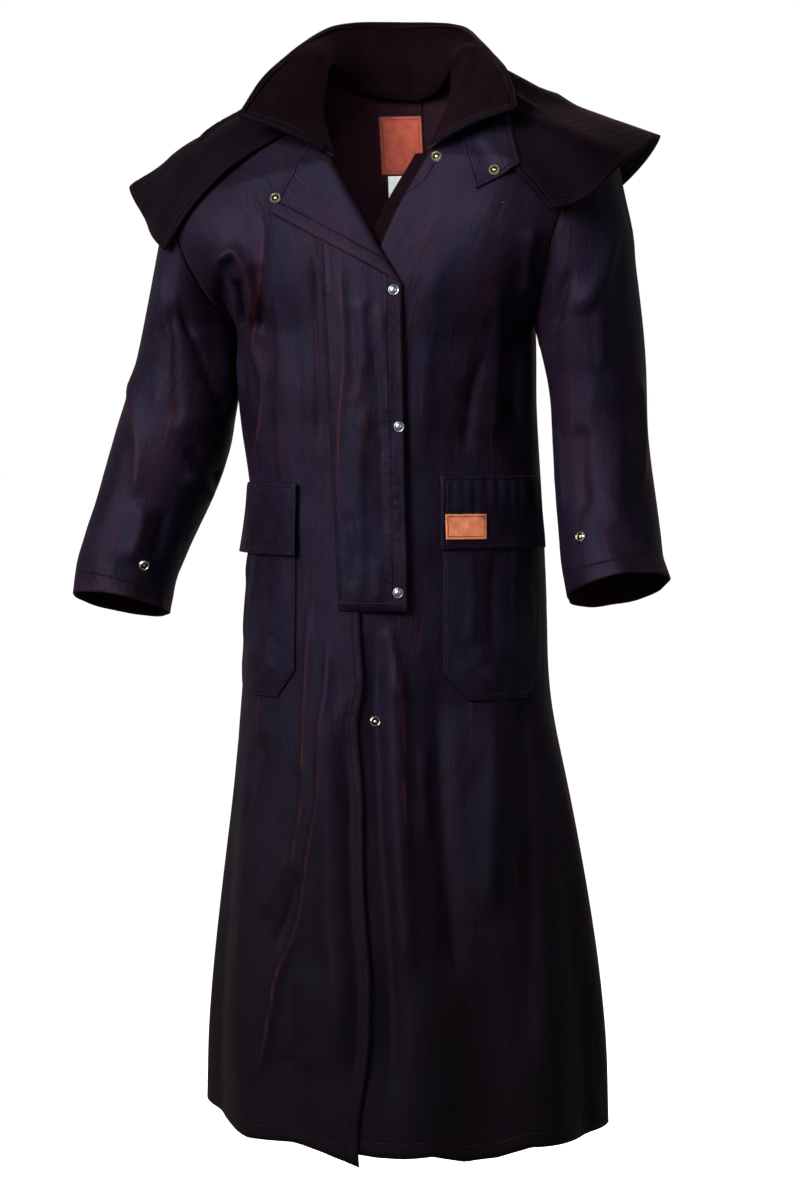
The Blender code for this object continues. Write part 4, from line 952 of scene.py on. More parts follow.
# Storm flap. One strip of waxed cotton sewn down the right front and snapped over the left one,
# folded back at its top as a lapel. Its free edge is stitched 3 mm and 16 mm in, its bottom 11 mm up.
FLAP_SEWN_X = (-72.0, -40.0)      # its sewn edge, at the top and at the bottom
FLAP_FREE_X = (30.0, 42.0)        # its free edge, likewise
FLAP_TOP_Z, FLAP_BOTTOM_Z = -97.0, -662.0
FOLD_LOW = (29.0, -271.0)         # the lapel's crease, x and z of its two ends
FOLD_HIGH = (-54.0, -137.0)
LAPEL_LIFT = 4.2                  # between the middles of the flap's two layers
LAPEL_ROLL = 12.0                 # width of the soft turn at the crease
LAY_GAP = 0.9                     # between the flap and the panel below it
FLAP_ROW_CROWDING = 0.8           # below 1 for more rows of points at its top
FLAP_RIM_MARGIN = 3.0             # where it leaves the panel below it, inside that one's rim
FLAP_FALL_BACK = 0.0009           # how it bends back past there
LAID = CLOTH + 0.5                # from the middle of one cloth to the middle of one laid on it
FLAP_CREASES = (
    (7, 2, 1.0, [(21, -240), (24, -300), (23, -370), (14, -438), (8, -508), (8, -610)]),
    (6, 1.6, .8, [(6, -225), (8, -262), (10, -300)]),
    (12, 2.6, .1, [(44, -410), (38, -470), (30, -540), (34, -600)]),
    (10, -2.4, 0, [(58, -330), (62, -420), (60, -520), (64, -600)]),
    (8, -2, 0, [(34, -300), (36, -360), (30, -420)]),
    (7, 1.6, .4, [(70, -300), (72, -380), (70, -450)]),
    (9, 2, .1, [(50, -290), (48, -340), (52, -390)]),
    (8, -2, 0, [(20, -540), (22, -600), (18, -640)]),
    (8, 1.6, .2, [(48, -600), (50, -630), (48, -655)]),
)


def cast_front(tree, x, z):
    """The front surface of a tree at x and z: where it is, and its outward normal."""
    hit, normal, _, _ = tree.ray_cast(Vector((x, -600.0, z)), Vector((0, 1, 0)))
    if hit is None:
        hit, normal, _, _ = tree.find_nearest(Vector((x, -120.0, z)))
    return hit, (normal if normal.y < 0 else -normal)


def flap_plan(x, z):
    """A point of the storm flap's flat strip, folded back about the lapel's crease: its
    place seen from the front, and how far past the crease it lies."""
    low, high = np.array(FOLD_LOW), np.array(FOLD_HIGH)
    along = (high - low) / np.linalg.norm(high - low)
    past = np.array([along[1], -along[0]])
    point = np.array([x, z])
    beyond = float((point - low) @ past)
    if beyond > 0:
        point = point - 2 * beyond * past
    return point, beyond


def flap_point(tree, x, z, rim, beyond):
    """Where the storm flap's cloth lies over the right front, and on past that panel's rim."""
    lift = CLOTH + LAY_GAP + LAPEL_LIFT * float(ease(beyond, -LAPEL_ROLL / 2, LAPEL_ROLL / 2))
    hit, normal = cast_front(tree, rim, z)
    back = FLAP_FALL_BACK * max(0.0, x - rim) ** 2
    return (x + normal.x * lift, hit.y + back + normal.y * lift, z + normal.z * lift)


def storm_flap_grid(right_front, columns, rows):
    """The strip's points, folded back about the lapel's crease, and its flat places."""
    tree = tree_of(right_front)
    inner = right_front[:, 0]
    heights = FLAP_BOTTOM_Z + (FLAP_TOP_Z - FLAP_BOTTOM_Z) * np.linspace(0, 1, rows) ** FLAP_ROW_CROWDING
    grid, flat = np.zeros((rows, columns, 3)), np.zeros((rows, columns, 2))
    for r, z in enumerate(heights):
        up = (z - FLAP_BOTTOM_Z) / (FLAP_TOP_Z - FLAP_BOTTOM_Z)
        sewn = FLAP_SEWN_X[1] + (FLAP_SEWN_X[0] - FLAP_SEWN_X[1]) * up
        free = FLAP_FREE_X[1] + (FLAP_FREE_X[0] - FLAP_FREE_X[1]) * up
        for c, x in enumerate(np.linspace(sewn, free, columns)):
            (px, pz), beyond = flap_plan(x, z)
            rim = float(np.interp(pz, inner[:, 2], inner[:, 0])) - FLAP_RIM_MARGIN
            grid[r, c] = flap_point(tree, px, pz, min(px, rim), beyond)
            flat[r, c] = x - sewn, z
    return grid, flat


flap, flap_flat = storm_flap_grid(calm["front_right"], 34, 170)
height, wear = relief(flap_flat[:, :, 0], flap_flat[:, :, 1], FLAP_CREASES, rumples=60, seed=8, deep=0.7)
height = height * ease(lengths(flap, "left"), 2, 16) * ease(lengths(flap, "right"), 2, 10)
flap = raised(flap, outward_normals(flap), height)
flap = cleared(flap, [fronts["right"]], LAID, straight_behind)
cloth("coat_storm_flap", flap, navy_cloth, navy_cloth, wear=wear, node="storm_flap",
      rests_on=("coat_front_right",),
      band=band_of(flap, ("right", 16), ("low", 11), ("left", 4), ("high", 6)))
flap_tree = tree_of(flap)

# Throat tab. A short strap of waxed cotton hanging under the collar's left end, stitched round
# its edge, with a snap to close the collar.
TAB_CORNERS = ((98.0, -112.0), (150.0, -88.0), (169.0, -146.0), (119.0, -171.0))
TAB_POINTS, TAB_LAID, TAB_BEND = (26, 30), CLOTH + 0.7, 1.6


def four_corner_grid(tree, corners, columns, rows, lift):
    """A patch on the coat's front between four corners, clockwise from the top left."""
    top_left, top_right, bottom_right, bottom_left = (np.array(c) for c in corners)
    grid = np.zeros((rows, columns, 3))
    for r, c in np.ndindex(rows, columns):
        u, v = c / (columns - 1), r / (rows - 1)
        x, z = (1 - v) * ((1 - u) * bottom_left + u * bottom_right) + v * ((1 - u) * top_left + u * top_right)
        hit, normal = cast_front(tree, x, z)
        grid[r, c] = hit + normal * lift
    return grid


tab = four_corner_grid(calm_left_front, TAB_CORNERS, *TAB_POINTS, TAB_LAID)
tab_across, tab_up = np.meshgrid(np.linspace(-1, 1, TAB_POINTS[0]), np.linspace(0, 1, TAB_POINTS[1]))
tab[:, :, 1] -= TAB_BEND * (1 - tab_up) * (1 + 0.5 * np.sin(3 * tab_across)) + 0.8 * tab_across ** 2
tab = cleared(tab, [body_tree, cape_tree], TAB_LAID, below_shoulder)
cloth("coat_throat_tab", tab, navy_cloth, navy_cloth, node="throat_tab", rests_on=("coat_front_left",),
      band=band_of(tab, ("left", 5), ("right", 5), ("low", 5)), wear=0.1 * (1 - tab_up))
tab_tree = tree_of(tab)

# Collar. A stand-and-fall collar of waxed cotton, opened out at both ends, its outer edge bound.
# Its inside is faced with soft plum brushed cotton, stitched to it just inside the binding.
FACING, FACING_GAP = 1.4, 0.6
# Each row is its share of the way round the neck seam and its point on the collar's outer edge.
COLLAR_ROWS = {
    "right_end":   (0.00, -166, -110, -78),
    "right_leaf":  (0.12, -150, -54, -28),
    "right_side":  (0.22, -136, -4, 3),
    "right_turn":  (0.31, -120, 38, 29),
    "right_back":  (0.39, -96, 78, 51),
    "back":        (0.50, -12, 106, 57),
    "left_back":   (0.61, 68, 78, 45),
    "left_turn":   (0.69, 96, 38, 22),
    "left_side":   (0.78, 119, -4, -2),
    "left_leaf":   (0.88, 144, -54, -28),
    "left_end":    (1.00, 166, -110, -78),
}
COLLAR_STAND = 7.0     # how far the collar's middle bows in towards the neck
COLLAR_EDGE = 6.0      # how far the facing keeps from the collar's edge
COLLAR_INSET, COLLAR_DROP, COLLAR_RISE = 5.2, 3.0, 2.4    # its seam's place inside the neck
COLLAR_PERCH, LAPEL_PERCH = 5.0, 6.0      # how far its ends sit off the fronts, and off the lapel
FACING_LENGTH = 500    # the length that the facing's creases are placed along
FACING_CREASES = (
    (9, 1.6, 0, [(60, 10), (52, 50), (40, 90)]), (8, -1.5, 0, [(90, 14), (84, 50), (88, 84)]),
    (10, 1.8, 0, [(130, 10), (124, 44), (136, 76)]), (9, -1.6, 0, [(170, 12), (178, 44), (170, 74)]),
    (12, 1.8, 0, [(215, 10), (222, 44), (214, 76)]), (9, -1.7, 0, [(262, 12), (256, 40), (264, 70)]),
    (10, 1.7, 0, [(300, 10), (308, 46), (300, 78)]), (9, -1.6, 0, [(345, 10), (340, 44), (350, 76)]),
    (9, 1.6, 0, [(390, 12), (398, 46), (404, 84)]), (8, -1.4, 0, [(430, 14), (440, 50), (452, 84)]),
)


def collar_grid(columns=33, rows=7):
    """The collar as drawn, from its seam, a little inside the neck, up to its outer edge."""
    table = columns_of(COLLAR_ROWS, columns)
    along = table[:, :1]
    seam = places_on(*neck, along[:, 0])
    from_end = np.minimum(along, 1 - along)
    inset = ease(from_end, 0.14, 0.24)
    drop = ease(from_end, 0.33, 0.42)
    over_lapel = 1 - ease(along, 0.1, 0.22)
    perch = np.where(along < 0.5, [[0.5, -0.5, 0.7]], [[-0.5, -0.5, 0.7]])
    rise = inset * (COLLAR_RISE * (1 - drop) - COLLAR_DROP * drop)
    seam = seam - inset * COLLAR_INSET * from_neck_middle(seam) + rise * np.array([0, 0, 1])
    seam = seam + (1 - inset) * (COLLAR_PERCH + LAPEL_PERCH * over_lapel) * perch
    return lofted([seam, table[:, 1:4]], rows)


def drawn_in(grid, by):
    """The same surface stopping short by so much at its two ends and its last row."""
    rows, columns = grid.shape[:2]
    drawn = np.zeros_like(grid)
    across = lengths(grid, "left")
    for r in range(rows):
        drawn[r] = places_on(grid[r], across[r], np.linspace(by, across[r, -1] - by, columns))
    up = lengths(drawn, "low")
    for c in range(columns):
        drawn[:, c] = places_on(drawn[:, c], up[:, c], np.linspace(0, up[-1, c] - by, rows))
    return drawn


collar = collar_grid()
bow = COLLAR_STAND * np.sin(math.pi * np.linspace(0, 1, len(collar)))[:, None, None]
collar = collar + outward_normals(collar) * bow
collar = finer(collar, 34, 170)
free = cleared(collar, [body_tree, cape_tree, flap_tree, tab_tree], 2 * CLOTH + 0.8, below_shoulder)
collar = collar + (free - collar) * ease(np.linspace(0, 1, len(collar)), 0, 0.3)[:, None, None]
s, t = lengths(collar, "left"), lengths(collar, "low")
s = s * FACING_LENGTH / s[:, -1:]
soft, _ = relief(s, t, FACING_CREASES, rumples=70, seed=21, sway=0.7, deep=0.7)
soft *= ease(t, 6, 24) * ease(lengths(collar, "high"), 4, 18)
collar = raised(collar, outward_normals(collar), 0.6 * soft)
towards_neck = outward_normals(collar)
outer_leaf = collar - towards_neck * (CLOTH + FACING_GAP) / 2
cloth("coat_collar", outer_leaf, navy_cloth, node="collar",
      band=band_of(outer_leaf, ("high", 8), ("left", 8), ("right", 8)))


def brushed_cotton(name, dark, light):
    """Soft napped cotton: cloudy, with paler nap where it is brushed up, and no shine."""
    made, wire, feed = principled(name, specular_ior_level=0.05, specular_tint=(1, 0.6, 0.8, 1),
                                  sheen_weight=0.02, sheen_roughness=0.5, sheen_tint=(0.35, 0.08, 0.13, 1))
    cloth_at = wire.node("UVMap")
    cloud, nap = wire.noise(cloth_at, 32.0, 5.0, 0.65), wire.noise(cloth_at, 420.0, 3.0)
    feed("Base Color", (cloud * 0.7 + nap * 0.3).between(0.38, 0.66).mix(dark, light))
    feed("Roughness", nap * 0.1 + 0.82)
    feed("Normal", wire.bump(nap * 0.5 + cloud * 1.6, 0.8))
    return made


plum = brushed_cotton("plum_cotton", (0.0014, 0.0005, 0.0008), (0.0036, 0.0011, 0.0018))
facing = drawn_in(collar + towards_neck * (FACING + FACING_GAP) / 2, COLLAR_EDGE)
from_end = np.minimum(s[0] / FACING_LENGTH, 1 - s[0] / FACING_LENGTH)
seam_in = ease(from_end, 0.13, 0.2)[:, None] * 0.95 + 0.05
tucked = [facing[0] + seam_in * (from_neck_middle(facing[0]) * out - np.array([0, 0, 1]) * down)
          for down, out in ((10.0, 4.2), (7.0, 3.0), (3.5, 1.2))]
facing = np.concatenate([np.array(tucked), facing])
cloth("coat_collar_facing", facing, plum, thick=FACING, node="collar_facing",
      rests_on=("coat_collar",))

# Pockets. Two patch pockets with cut lower corners under straight flaps; the left one is
# gathered a little under its flap's seam. Their edges are stitched twice.
POCKET_TOP_Z, POCKET_BOTTOM_Z = -520.0, -768.0
POCKET_WIDTH = 138.0
POCKET_CORNER = (28.0, 33.0)      # the cut corner, across and up
POCKET_FLAP_Z = {"right": (-512.0, -598.0), "left": (-503.0, -590.0)}
POCKET_FROM_CENTRE = {"right": 102.0, "left": 82.0}
POCKET_BAG, POCKET_FLAP_OVERHANG = 4.0, 4.0
COVER_LIFTS = {"right": (7.0, 8.0), "left": (3.6, 2.0)}    # of a flap's free edge, and of its outer corner
POCKET_CREASES = {
    "right": (
        (8, 2, .3, [(30, 30), (60, 50), (100, 40)]), (7, -2, 0, [(16, 60), (50, 80), (96, 78)]),
        (9, 2, .5, [(110, 60), (116, 130), (112, 190)]), (7, -1.6, 0, [(40, 110), (62, 160), (60, 200)])),
    "left": (
        (9, 2, .2, [(30, 60), (36, 120), (30, 180)]), (9, -2, 0, [(64, 50), (60, 120), (66, 190)]),
        (8, 2, .3, [(96, 60), (92, 130), (100, 200)]), (7, -1.4, 0, [(20, 30), (60, 44), (110, 34)])),
}
FLAP_TUCKS = {"right": (), "left": (14, 27, 41, 58, 72, 88, 103, 121)}
TUCK_DEPTH, TUCK_WIDTH = 1.6, 4.2


def wrapped_line(tree, side, z):
    """The coat's outline at height z from the front middle round one side, by length of cloth."""
    points = []
    for turn in np.radians(np.arange(0, 136, 2.5)):
        way = Vector((side * math.sin(turn), -math.cos(turn), 0))
        hit = tree.ray_cast(Vector((0, 0, z)) + way * 700, -way)[0]
        if hit is not None:
            points.append(tuple(hit))
    return travelled_along(points), np.array(points)


def patch_grid(side, top, bottom, ends, lift_at, rows, columns):
    """A patch sewn on the coat's side. ends gives its first and last length of cloth at a height."""
    grid = np.zeros((rows, columns, 3))
    for r, z in enumerate(np.linspace(bottom, top, rows)):
        grid[r] = spline(*wrapped_line(calm_tree, side, z), np.linspace(*ends(z), columns))
    lift = np.array([[lift_at(r / (rows - 1), c / (columns - 1)) for c in range(columns)]
                     for r in range(rows)])
    return raised(grid, outward_normals(grid) * side, lift)


bags, covers = {}, {}
for name, side in (("right", -1), ("left", 1)):
    near = POCKET_FROM_CENTRE[name]

    def pocket_ends(z):
        cut = POCKET_CORNER[0] * max(0.0, (POCKET_BOTTOM_Z + POCKET_CORNER[1] - z) / POCKET_CORNER[1])
        return near + cut, near + POCKET_WIDTH - cut

    def pocket_lift(up, across):
        bag = math.sin(math.pi * across) * math.sin(math.pi * min(1.0, up * 1.15)) ** 0.7
        return LAID + POCKET_BAG * max(0.0, bag)

    def cover_ends(z):
        return near - POCKET_FLAP_OVERHANG, near + POCKET_WIDTH + POCKET_FLAP_OVERHANG

    def cover_lift(up, across):
        lift, curl = COVER_LIFTS[name]
        return LAID + lift * (1 - up) ** 0.6 + curl * (1 - up) * across ** 3

    bag = patch_grid(side, POCKET_TOP_Z, POCKET_BOTTOM_Z, pocket_ends, pocket_lift, 66, 44)
    s, t = lengths(bag, "left"), lengths(bag, "low")
    height, wear = relief(s, t, POCKET_CREASES[name], rumples=36, seed=51 + side, sway=0.6, deep=0.9)
    rim = ease(s, 1, 12) * ease(lengths(bag, "right"), 1, 12) * ease(t, 1, 12)
    bag = raised(bag, outward_normals(bag) * side, height * rim)
    bag = cleared(bag, [body_tree], LAID, from_middle)
    bags[name] = bag, outward_normals(bag) * side
    cloth("coat_pocket_" + name, bag, navy_cloth, navy_cloth, outwards=side > 0, wear=wear,
          node="pocket_" + name, rests_on=("coat_front_" + name,),
          band=band_of(bag, ("left", 3), ("right", 3), ("low", 3)))
    cover = patch_grid(side, *POCKET_FLAP_Z[name], cover_ends, cover_lift, 30, 50)
    s, t = lengths(cover, "left"), lengths(cover, "low")
    tucks = sum((np.exp(-((s - at) / TUCK_WIDTH) ** 2) for at in FLAP_TUCKS[name]), np.zeros(s.shape))
    height = -TUCK_DEPTH * tucks * ease(t, 20, 84) * (1 - ease(t, 86, 92))
    soft, wear = relief(s, t, rumples=22, seed=71 + side, sway=0.8, deep=0.9)
    cover = raised(cover, outward_normals(cover) * side, (height + soft) * ease(lengths(cover, "high"), 0, 6))
    cover = cleared(cover, [body_tree, tree_of(bag)], LAID, from_middle)
    covers[name] = cover, outward_normals(cover) * side
    cloth("coat_pocket_flap_" + name, cover, navy_cloth, navy_cloth, outwards=side > 0,
          wear=wear + 0.15 * ease(-t, -12, 0), node="pocket_flap_" + name, rests_on=("coat_pocket_" + name,),
          band=band_of(cover, ("left", 6), ("right", 6), ("low", 6), ("high", 5)))

# Tan patches and the care label. The patch on the left pocket flap and the larger one inside the
# back neck are plain tan split leather, sewn on flat, with one line pressed round them just
# inside a darkened rim. The care label below the larger one is white woven tape.
PATCH_CORNERS = ((82, -548), (126, -548), (127, -578), (83, -578))
NECK_LABEL_CORNERS = ((-42, -128), (12, -58))
CARE_LABEL_CORNERS = ((-34, -156), (-8, -130))
LABEL_LAID = CLOTH + 0.4


def tan_leather(name, deep, pale):
    """Plain tan split leather, a little mottled, with a pressed line just inside its dark rim."""
    made, wire, feed = principled(name, specular_ior_level=0.3)
    cloth_at, band = wire.node("UVMap"), wire.painted("band")
    cloud, grain = wire.noise(cloth_at, 90.0, 5.0), wire.noise(cloth_at, 900.0, 2.0, 0.5)
    line, rim = 1 - abs(band).between(0.25, 0.8), band.between(-2.2, -3.6)
    tan = (cloud * 0.7 + grain * 0.3).between(0.36, 0.66).mix(deep, pale)
    feed("Base Color", (line * 0.75).or_more(rim * 0.6).mix(tan, (0.075, 0.018, 0.010)))
    feed("Roughness", grain * 0.15 + 0.55)
    feed("Normal", wire.bump(grain * 0.3 + cloud * 0.4 - line, 0.7, 0.0006))
    return made


def inner_patch_grid(low, high, columns, rows):
    """A patch on the inside of the back, between two corners seen from the front."""
    grid = np.zeros((rows, columns, 3))
    for r, z in enumerate(np.linspace(low[1], high[1], rows)):
        for c, x in enumerate(np.linspace(low[0], high[0], columns)):
            hit, normal = backs.ray_cast(Vector((x, 0, z)), Vector((0, 1, 0)))[:2]
            grid[r, c] = hit + (-normal if normal.y > 0 else normal) * LABEL_LAID
    return grid


def border_of(grid, inset):
    """How far each point lies inside a line that keeps so far from all four edges."""
    left, right, low, high = (lengths(grid, edge) for edge in ("left", "right", "low", "high"))
    return np.minimum(np.minimum(left, right), np.minimum(low, high)) - inset


tan = tan_leather("tan_leather", (0.46, 0.132, 0.058), (0.68, 0.215, 0.104))
rust = tan_leather("rust_leather", (0.29, 0.046, 0.026), (0.42, 0.080, 0.043))
tape, wire, feed = principled("white_tape", specular_ior_level=0.2)
ribs = wire.node("TexWave", {"Vector": wire.node("UVMap"), "Scale": 300.0, "Distortion": 0.6})
feed("Base Color", ribs.between(0.2, 0.8).mix((0.76, 0.83, 0.84), (0.88, 0.94, 0.95)))
feed("Roughness", ribs * 0.1 + 0.7)
patch = four_corner_grid(tree_of(covers["left"][0]), PATCH_CORNERS, 40, 28, LAID)
cloth("coat_pocket_patch", patch, tan, thick=1.2, node="pocket_patch",
      rests_on=("coat_pocket_flap_left",), band=border_of(patch, 3.2))
backs = tree_of(calm["back_right"], calm["back_left"])
neck_label = inner_patch_grid(*NECK_LABEL_CORNERS, 40, 46)
cloth("coat_neck_label", neck_label, rust, thick=1.2, node="neck_label",
      rests_on=("coat_back_left", "coat_back_right"), band=border_of(neck_label, 4.0))
cloth("coat_care_label", inner_patch_grid(*CARE_LABEL_CORNERS, 14, 16), tape, thick=1.0, node="care_label",
      rests_on=("coat_back_right",))

# Snaps. Three domed nickel caps close the storm flap; every other one is a brass ring socket
# with a small post in its middle. All are pressed through the cloth and turned over behind it.
SNAP_RADIUS, SNAP_HEIGHT, SNAP_TIP, SNAP_SIDES = 7.2, 3.2, 0.02, 40
# Their outlines from the cloth up to the middle, as shares of the radius and of the height
CAP = ((0.87, 0), (0.89, 0.12), (0.88, 0.3), (0.82, 0.45), (0.76, 0.47), (0.71, 0.43), (0.66, 0.52),
       (0.54, 0.76), (0.38, 0.92), (0.18, 0.99), (0, 1))
RING = ((0.93, 0), (0.96, 0.2), (0.92, 0.42), (0.84, 0.56), (0.79, 0.84), (0.72, 0.92), (0.65, 0.84),
        (0.60, 0.5), (0.57, 0.2), (0.42, 0.12), (0.27, 0.16), (0.23, 0.5), (0.16, 0.62), (0, 0.64))
SNAP_WELL = (0.6, 0.45)           # what lies nearer the middle and lower than this is painted dark, for the shade down in the socket


def polished(name, light, dark, rough):
    """Plated metal, dulled in small patches, with painted shade, dark and rougher, down in its socket."""
    made, wire, feed = principled(name, metallic=1.0)
    dull = wire.noise(wire.node("TexCoord", output=3), 420.0, 4.0)
    socket_shade = wire.painted("socket_shade")
    # The socket's floor is painted near-black for the shade that falls there.
    feed("Base Color", socket_shade.mix(dull.between(0.35, 0.7).mix(light, dark), (0.012, 0.008, 0.006)))
    feed("Roughness", dull * 0.25 + socket_shade * 0.4 + rough)
    return made


nickel = polished("nickel_plate", (0.42, 0.46, 0.49), (0.13, 0.14, 0.15), 0.17)
brass = polished("aged_brass", (0.94, 0.90, 0.68), (0.42, 0.35, 0.21), 0.13)


def snap(name, outline, finish, hit, normal):
    """A small lathe-turned piece that stands on the cloth where its middle is hit."""
    turn = np.arange(SNAP_SIDES) * math.tau / SNAP_SIDES
    shares = np.array(outline)
    radius, height = np.maximum(shares[:, :1] * SNAP_RADIUS, SNAP_TIP), shares[:, 1:] * SNAP_HEIGHT
    x_axis = Vector(normal).orthogonal().normalized()
    y_axis = Vector(normal).cross(x_axis).normalized()
    local = np.stack([radius * np.cos(turn), radius * np.sin(turn), height * np.ones(SNAP_SIDES)], 2)
    axes = np.stack([x_axis, y_axis, Vector(normal).normalized()])
    points = np.array(hit + normal * CLOTH / 2) + local @ axes
    last = (len(shares) - 1) * SNAP_SIDES
    faces = quads(len(shares), SNAP_SIDES, closed=True)
    faces += [tuple(range(SNAP_SIDES))[::-1], tuple(range(last, last + SNAP_SIDES))]
    mesh = smooth_mesh("coat_" + name, points, faces, finish)
    # The points down in the socket, which the finish paints dark as shade.
    socket_shade = np.repeat((shares < SNAP_WELL).all(axis=1), SNAP_SIDES).astype(np.float32)
    mesh.attributes.new("socket_shade", "FLOAT", "POINT").data.foreach_set("value", socket_shade)
    made = on_coat("coat_" + name, mesh, name)
    made.modifiers.new("edges", "EDGE_SPLIT").split_angle = math.radians(50)


for name, x, z in (("top", 25, -287), ("middle", 32, -446), ("low", 31, -640)):
    snap("snap_front_" + name, CAP, nickel, *cast_front(flap_tree, x, z))
for name, tree, x, z in (("snap_lapel", flap_tree, -121, -176), ("snap_tab", tab_tree, 140, -149),
                         ("snap_neck", fronts["left"], 70, -131), ("snap_skirt", fronts["left"], 2, -792)):
    snap(name, RING, brass, *cast_front(tree, x, z))
for name, tree, start, target in (
    ("snap_cuff_right", sleeve_trees[0], (-262, -400, -612), (-300, -30, -612)),
    ("snap_cuff_left", sleeve_trees[1], (214, -400, -574), (246, -30, -574))):
    way = (Vector(target) - Vector(start)).normalized()
    hit, normal = tree.ray_cast(Vector(start), way)[:2]
    snap(name, RING, brass, hit, normal if normal.dot(way) < 0 else -normal)

# Binding and front facing. The collar's edge is wrapped in a folded strip of waxed cotton, and
# a strip of plum cotton backs the left front edge where the neck opens over it.
def rim_of(grid):
    """A grid's free rim as one line, with the way into the cloth and its normal at each point."""
    normals = outward_normals(grid)
    rim = np.concatenate([grid[:, 0], grid[-1, 1:-1], grid[::-1, -1]])
    inside = np.concatenate([grid[:, 2], grid[-3, 1:-1], grid[::-1, -3]])
    facing_out = np.concatenate([normals[:, 1], normals[-2, 1:-1], normals[::-1, -2]])
    rows, columns = grid.shape[:2]
    for corner, at in (((-3, 2), rows - 1), ((-3, -3), rows + columns - 2)):    # at a corner, on the slant
        inside[at] = grid[corner]
    into = inside - rim
    return rim, into / np.linalg.norm(into, axis=1, keepdims=True), facing_out


BINDING_POINTS, BINDING_ENDS = 300, 4      # round the collar, and the rim's points left out at both ends
BINDING_SECTION = np.array([(8.4, 2.5), (6.5, 3.0), (3.5, 3.1), (1.0, 2.8), (-1.2, 1.6), (-1.9, 0.0),
                            (-1.2, -1.8), (1.0, -2.8), (3.5, -3.1), (6.5, -3.0), (8.4, -2.5)])
path, into, facing_out = (resampled(line[BINDING_ENDS:-BINDING_ENDS], BINDING_POINTS)
                          for line in rim_of(collar))
inwards, upwards = BINDING_SECTION[:, 0], BINDING_SECTION[:, 1]
binding = path[:, None] + into[:, None] * inwards[:, None] + facing_out[:, None] * upwards[:, None]
lumps = np.convolve(np.random.default_rng(5).normal(0, 0.25, BINDING_POINTS), np.ones(5) / 5, "same")
binding += facing_out[:, None] * (lumps[:, None] * (upwards > 0))[:, :, None]
cloth("coat_collar_binding", binding, cape_cloth, thick=1.0, outwards=False,
      rests_on=("coat_collar",), wear=np.exp(-((inwards + 1.9) / 2.0) ** 2) * 0.35)

FACING_STRIP_WIDTH, FACING_STRIP_COLUMNS = 21, 9
FACING_STRIP_ROWS = slice(int(9.1 * PANEL_STEPS), int(11.1 * PANEL_STEPS))
edge_line = panel_at["front_left"][FACING_STRIP_ROWS, 0]
strip = np.stack([edge_line + np.array([-1.0, 0.15, 0.0]) * back + np.array([3.0, 2.2, 0])
                  for back in np.linspace(0, FACING_STRIP_WIDTH, FACING_STRIP_COLUMNS)], 1)
wave = np.sin(np.linspace(0, 9, len(strip)))[:, None] * np.linspace(0, 1, FACING_STRIP_COLUMNS)
strip = strip + np.array([0, 1.0, 0]) * wave[:, :, None]
cloth("coat_front_facing", strip, plum, thick=1.2,
      rests_on=("coat_front_left",))

# Stitching. Every hem, seam and patch is sewn in dark waxed thread, most of them twice; the
# stitches are single short threads that stand a little proud of the cloth.
PITCH, THREAD_LONG, THREAD_WIDE, THREAD_PROUD, THREAD_SUNK = 3.6, 2.5, 0.75, 0.35, 0.3
THREAD_FACES = ((0, 2, 1), (0, 3, 2), (0, 4, 3), (0, 1, 4), (5, 1, 2), (5, 2, 3), (5, 3, 4), (5, 4, 1))


def along_edge(grid, normals, edge, inset, first=0.0, last=1.0):
    """A line that keeps so far from one edge of a piece, as its points and normals."""
    if edge in ("low", "high"):
        grid, normals = grid.swapaxes(0, 1), normals.swapaxes(0, 1)
    if edge in ("right", "high"):
        grid, normals = grid[:, ::-1], normals[:, ::-1]
    picked = slice(int(first * (len(grid) - 1)), int(last * (len(grid) - 1)) + 1)
    rows = zip(grid[picked], lengths(grid, "left")[picked])
    return np.array([places_on(row, travelled, inset) for row, travelled in rows]), normals[picked, 1]


def seams(grid, normals, *rows):
    """The lines of a piece's rows of stitches: the edge, the inset and the share covered, if not all."""
    return [along_edge(grid, normals, *row) for row in rows]


def rows_at(edges, *insets):
    """The same rows of stitches along several edges."""
    return [(edge, inset) for edge in edges for inset in insets]


def stitches(name, lines, lift=CLOTH / 2):
    """A row of threads along each line of points and normals, all as one piece."""
    points, faces = [], []
    for line, normals in lines:
        travelled = travelled_along(line)
        places = np.arange(PITCH / 2, travelled[-1], PITCH)
        at, ahead = places_on(line, travelled, places), places_on(line, travelled, places + 0.5)
        way, up = ahead - at, places_on(normals, travelled, places)
        way /= np.maximum(np.linalg.norm(way, axis=1, keepdims=True), 1e-9)
        up /= np.linalg.norm(up, axis=1, keepdims=True)
        side, base = np.cross(way, up), at + up * lift
        thread_at = [base - way * THREAD_LONG / 2, base + side * THREAD_WIDE / 2, base + up * THREAD_PROUD,
                     base - side * THREAD_WIDE / 2, base - up * THREAD_SUNK, base + way * THREAD_LONG / 2]
        first = sum(len(held) for held in points)
        points.append(np.stack(thread_at, 1).reshape(-1, 3))
        faces += [tuple(first + 6 * k + i for i in face) for k in range(len(at)) for face in THREAD_FACES]
    name = "coat_stitching_" + name
    on_coat(name, smooth_mesh(name, np.concatenate(points), faces, thread))


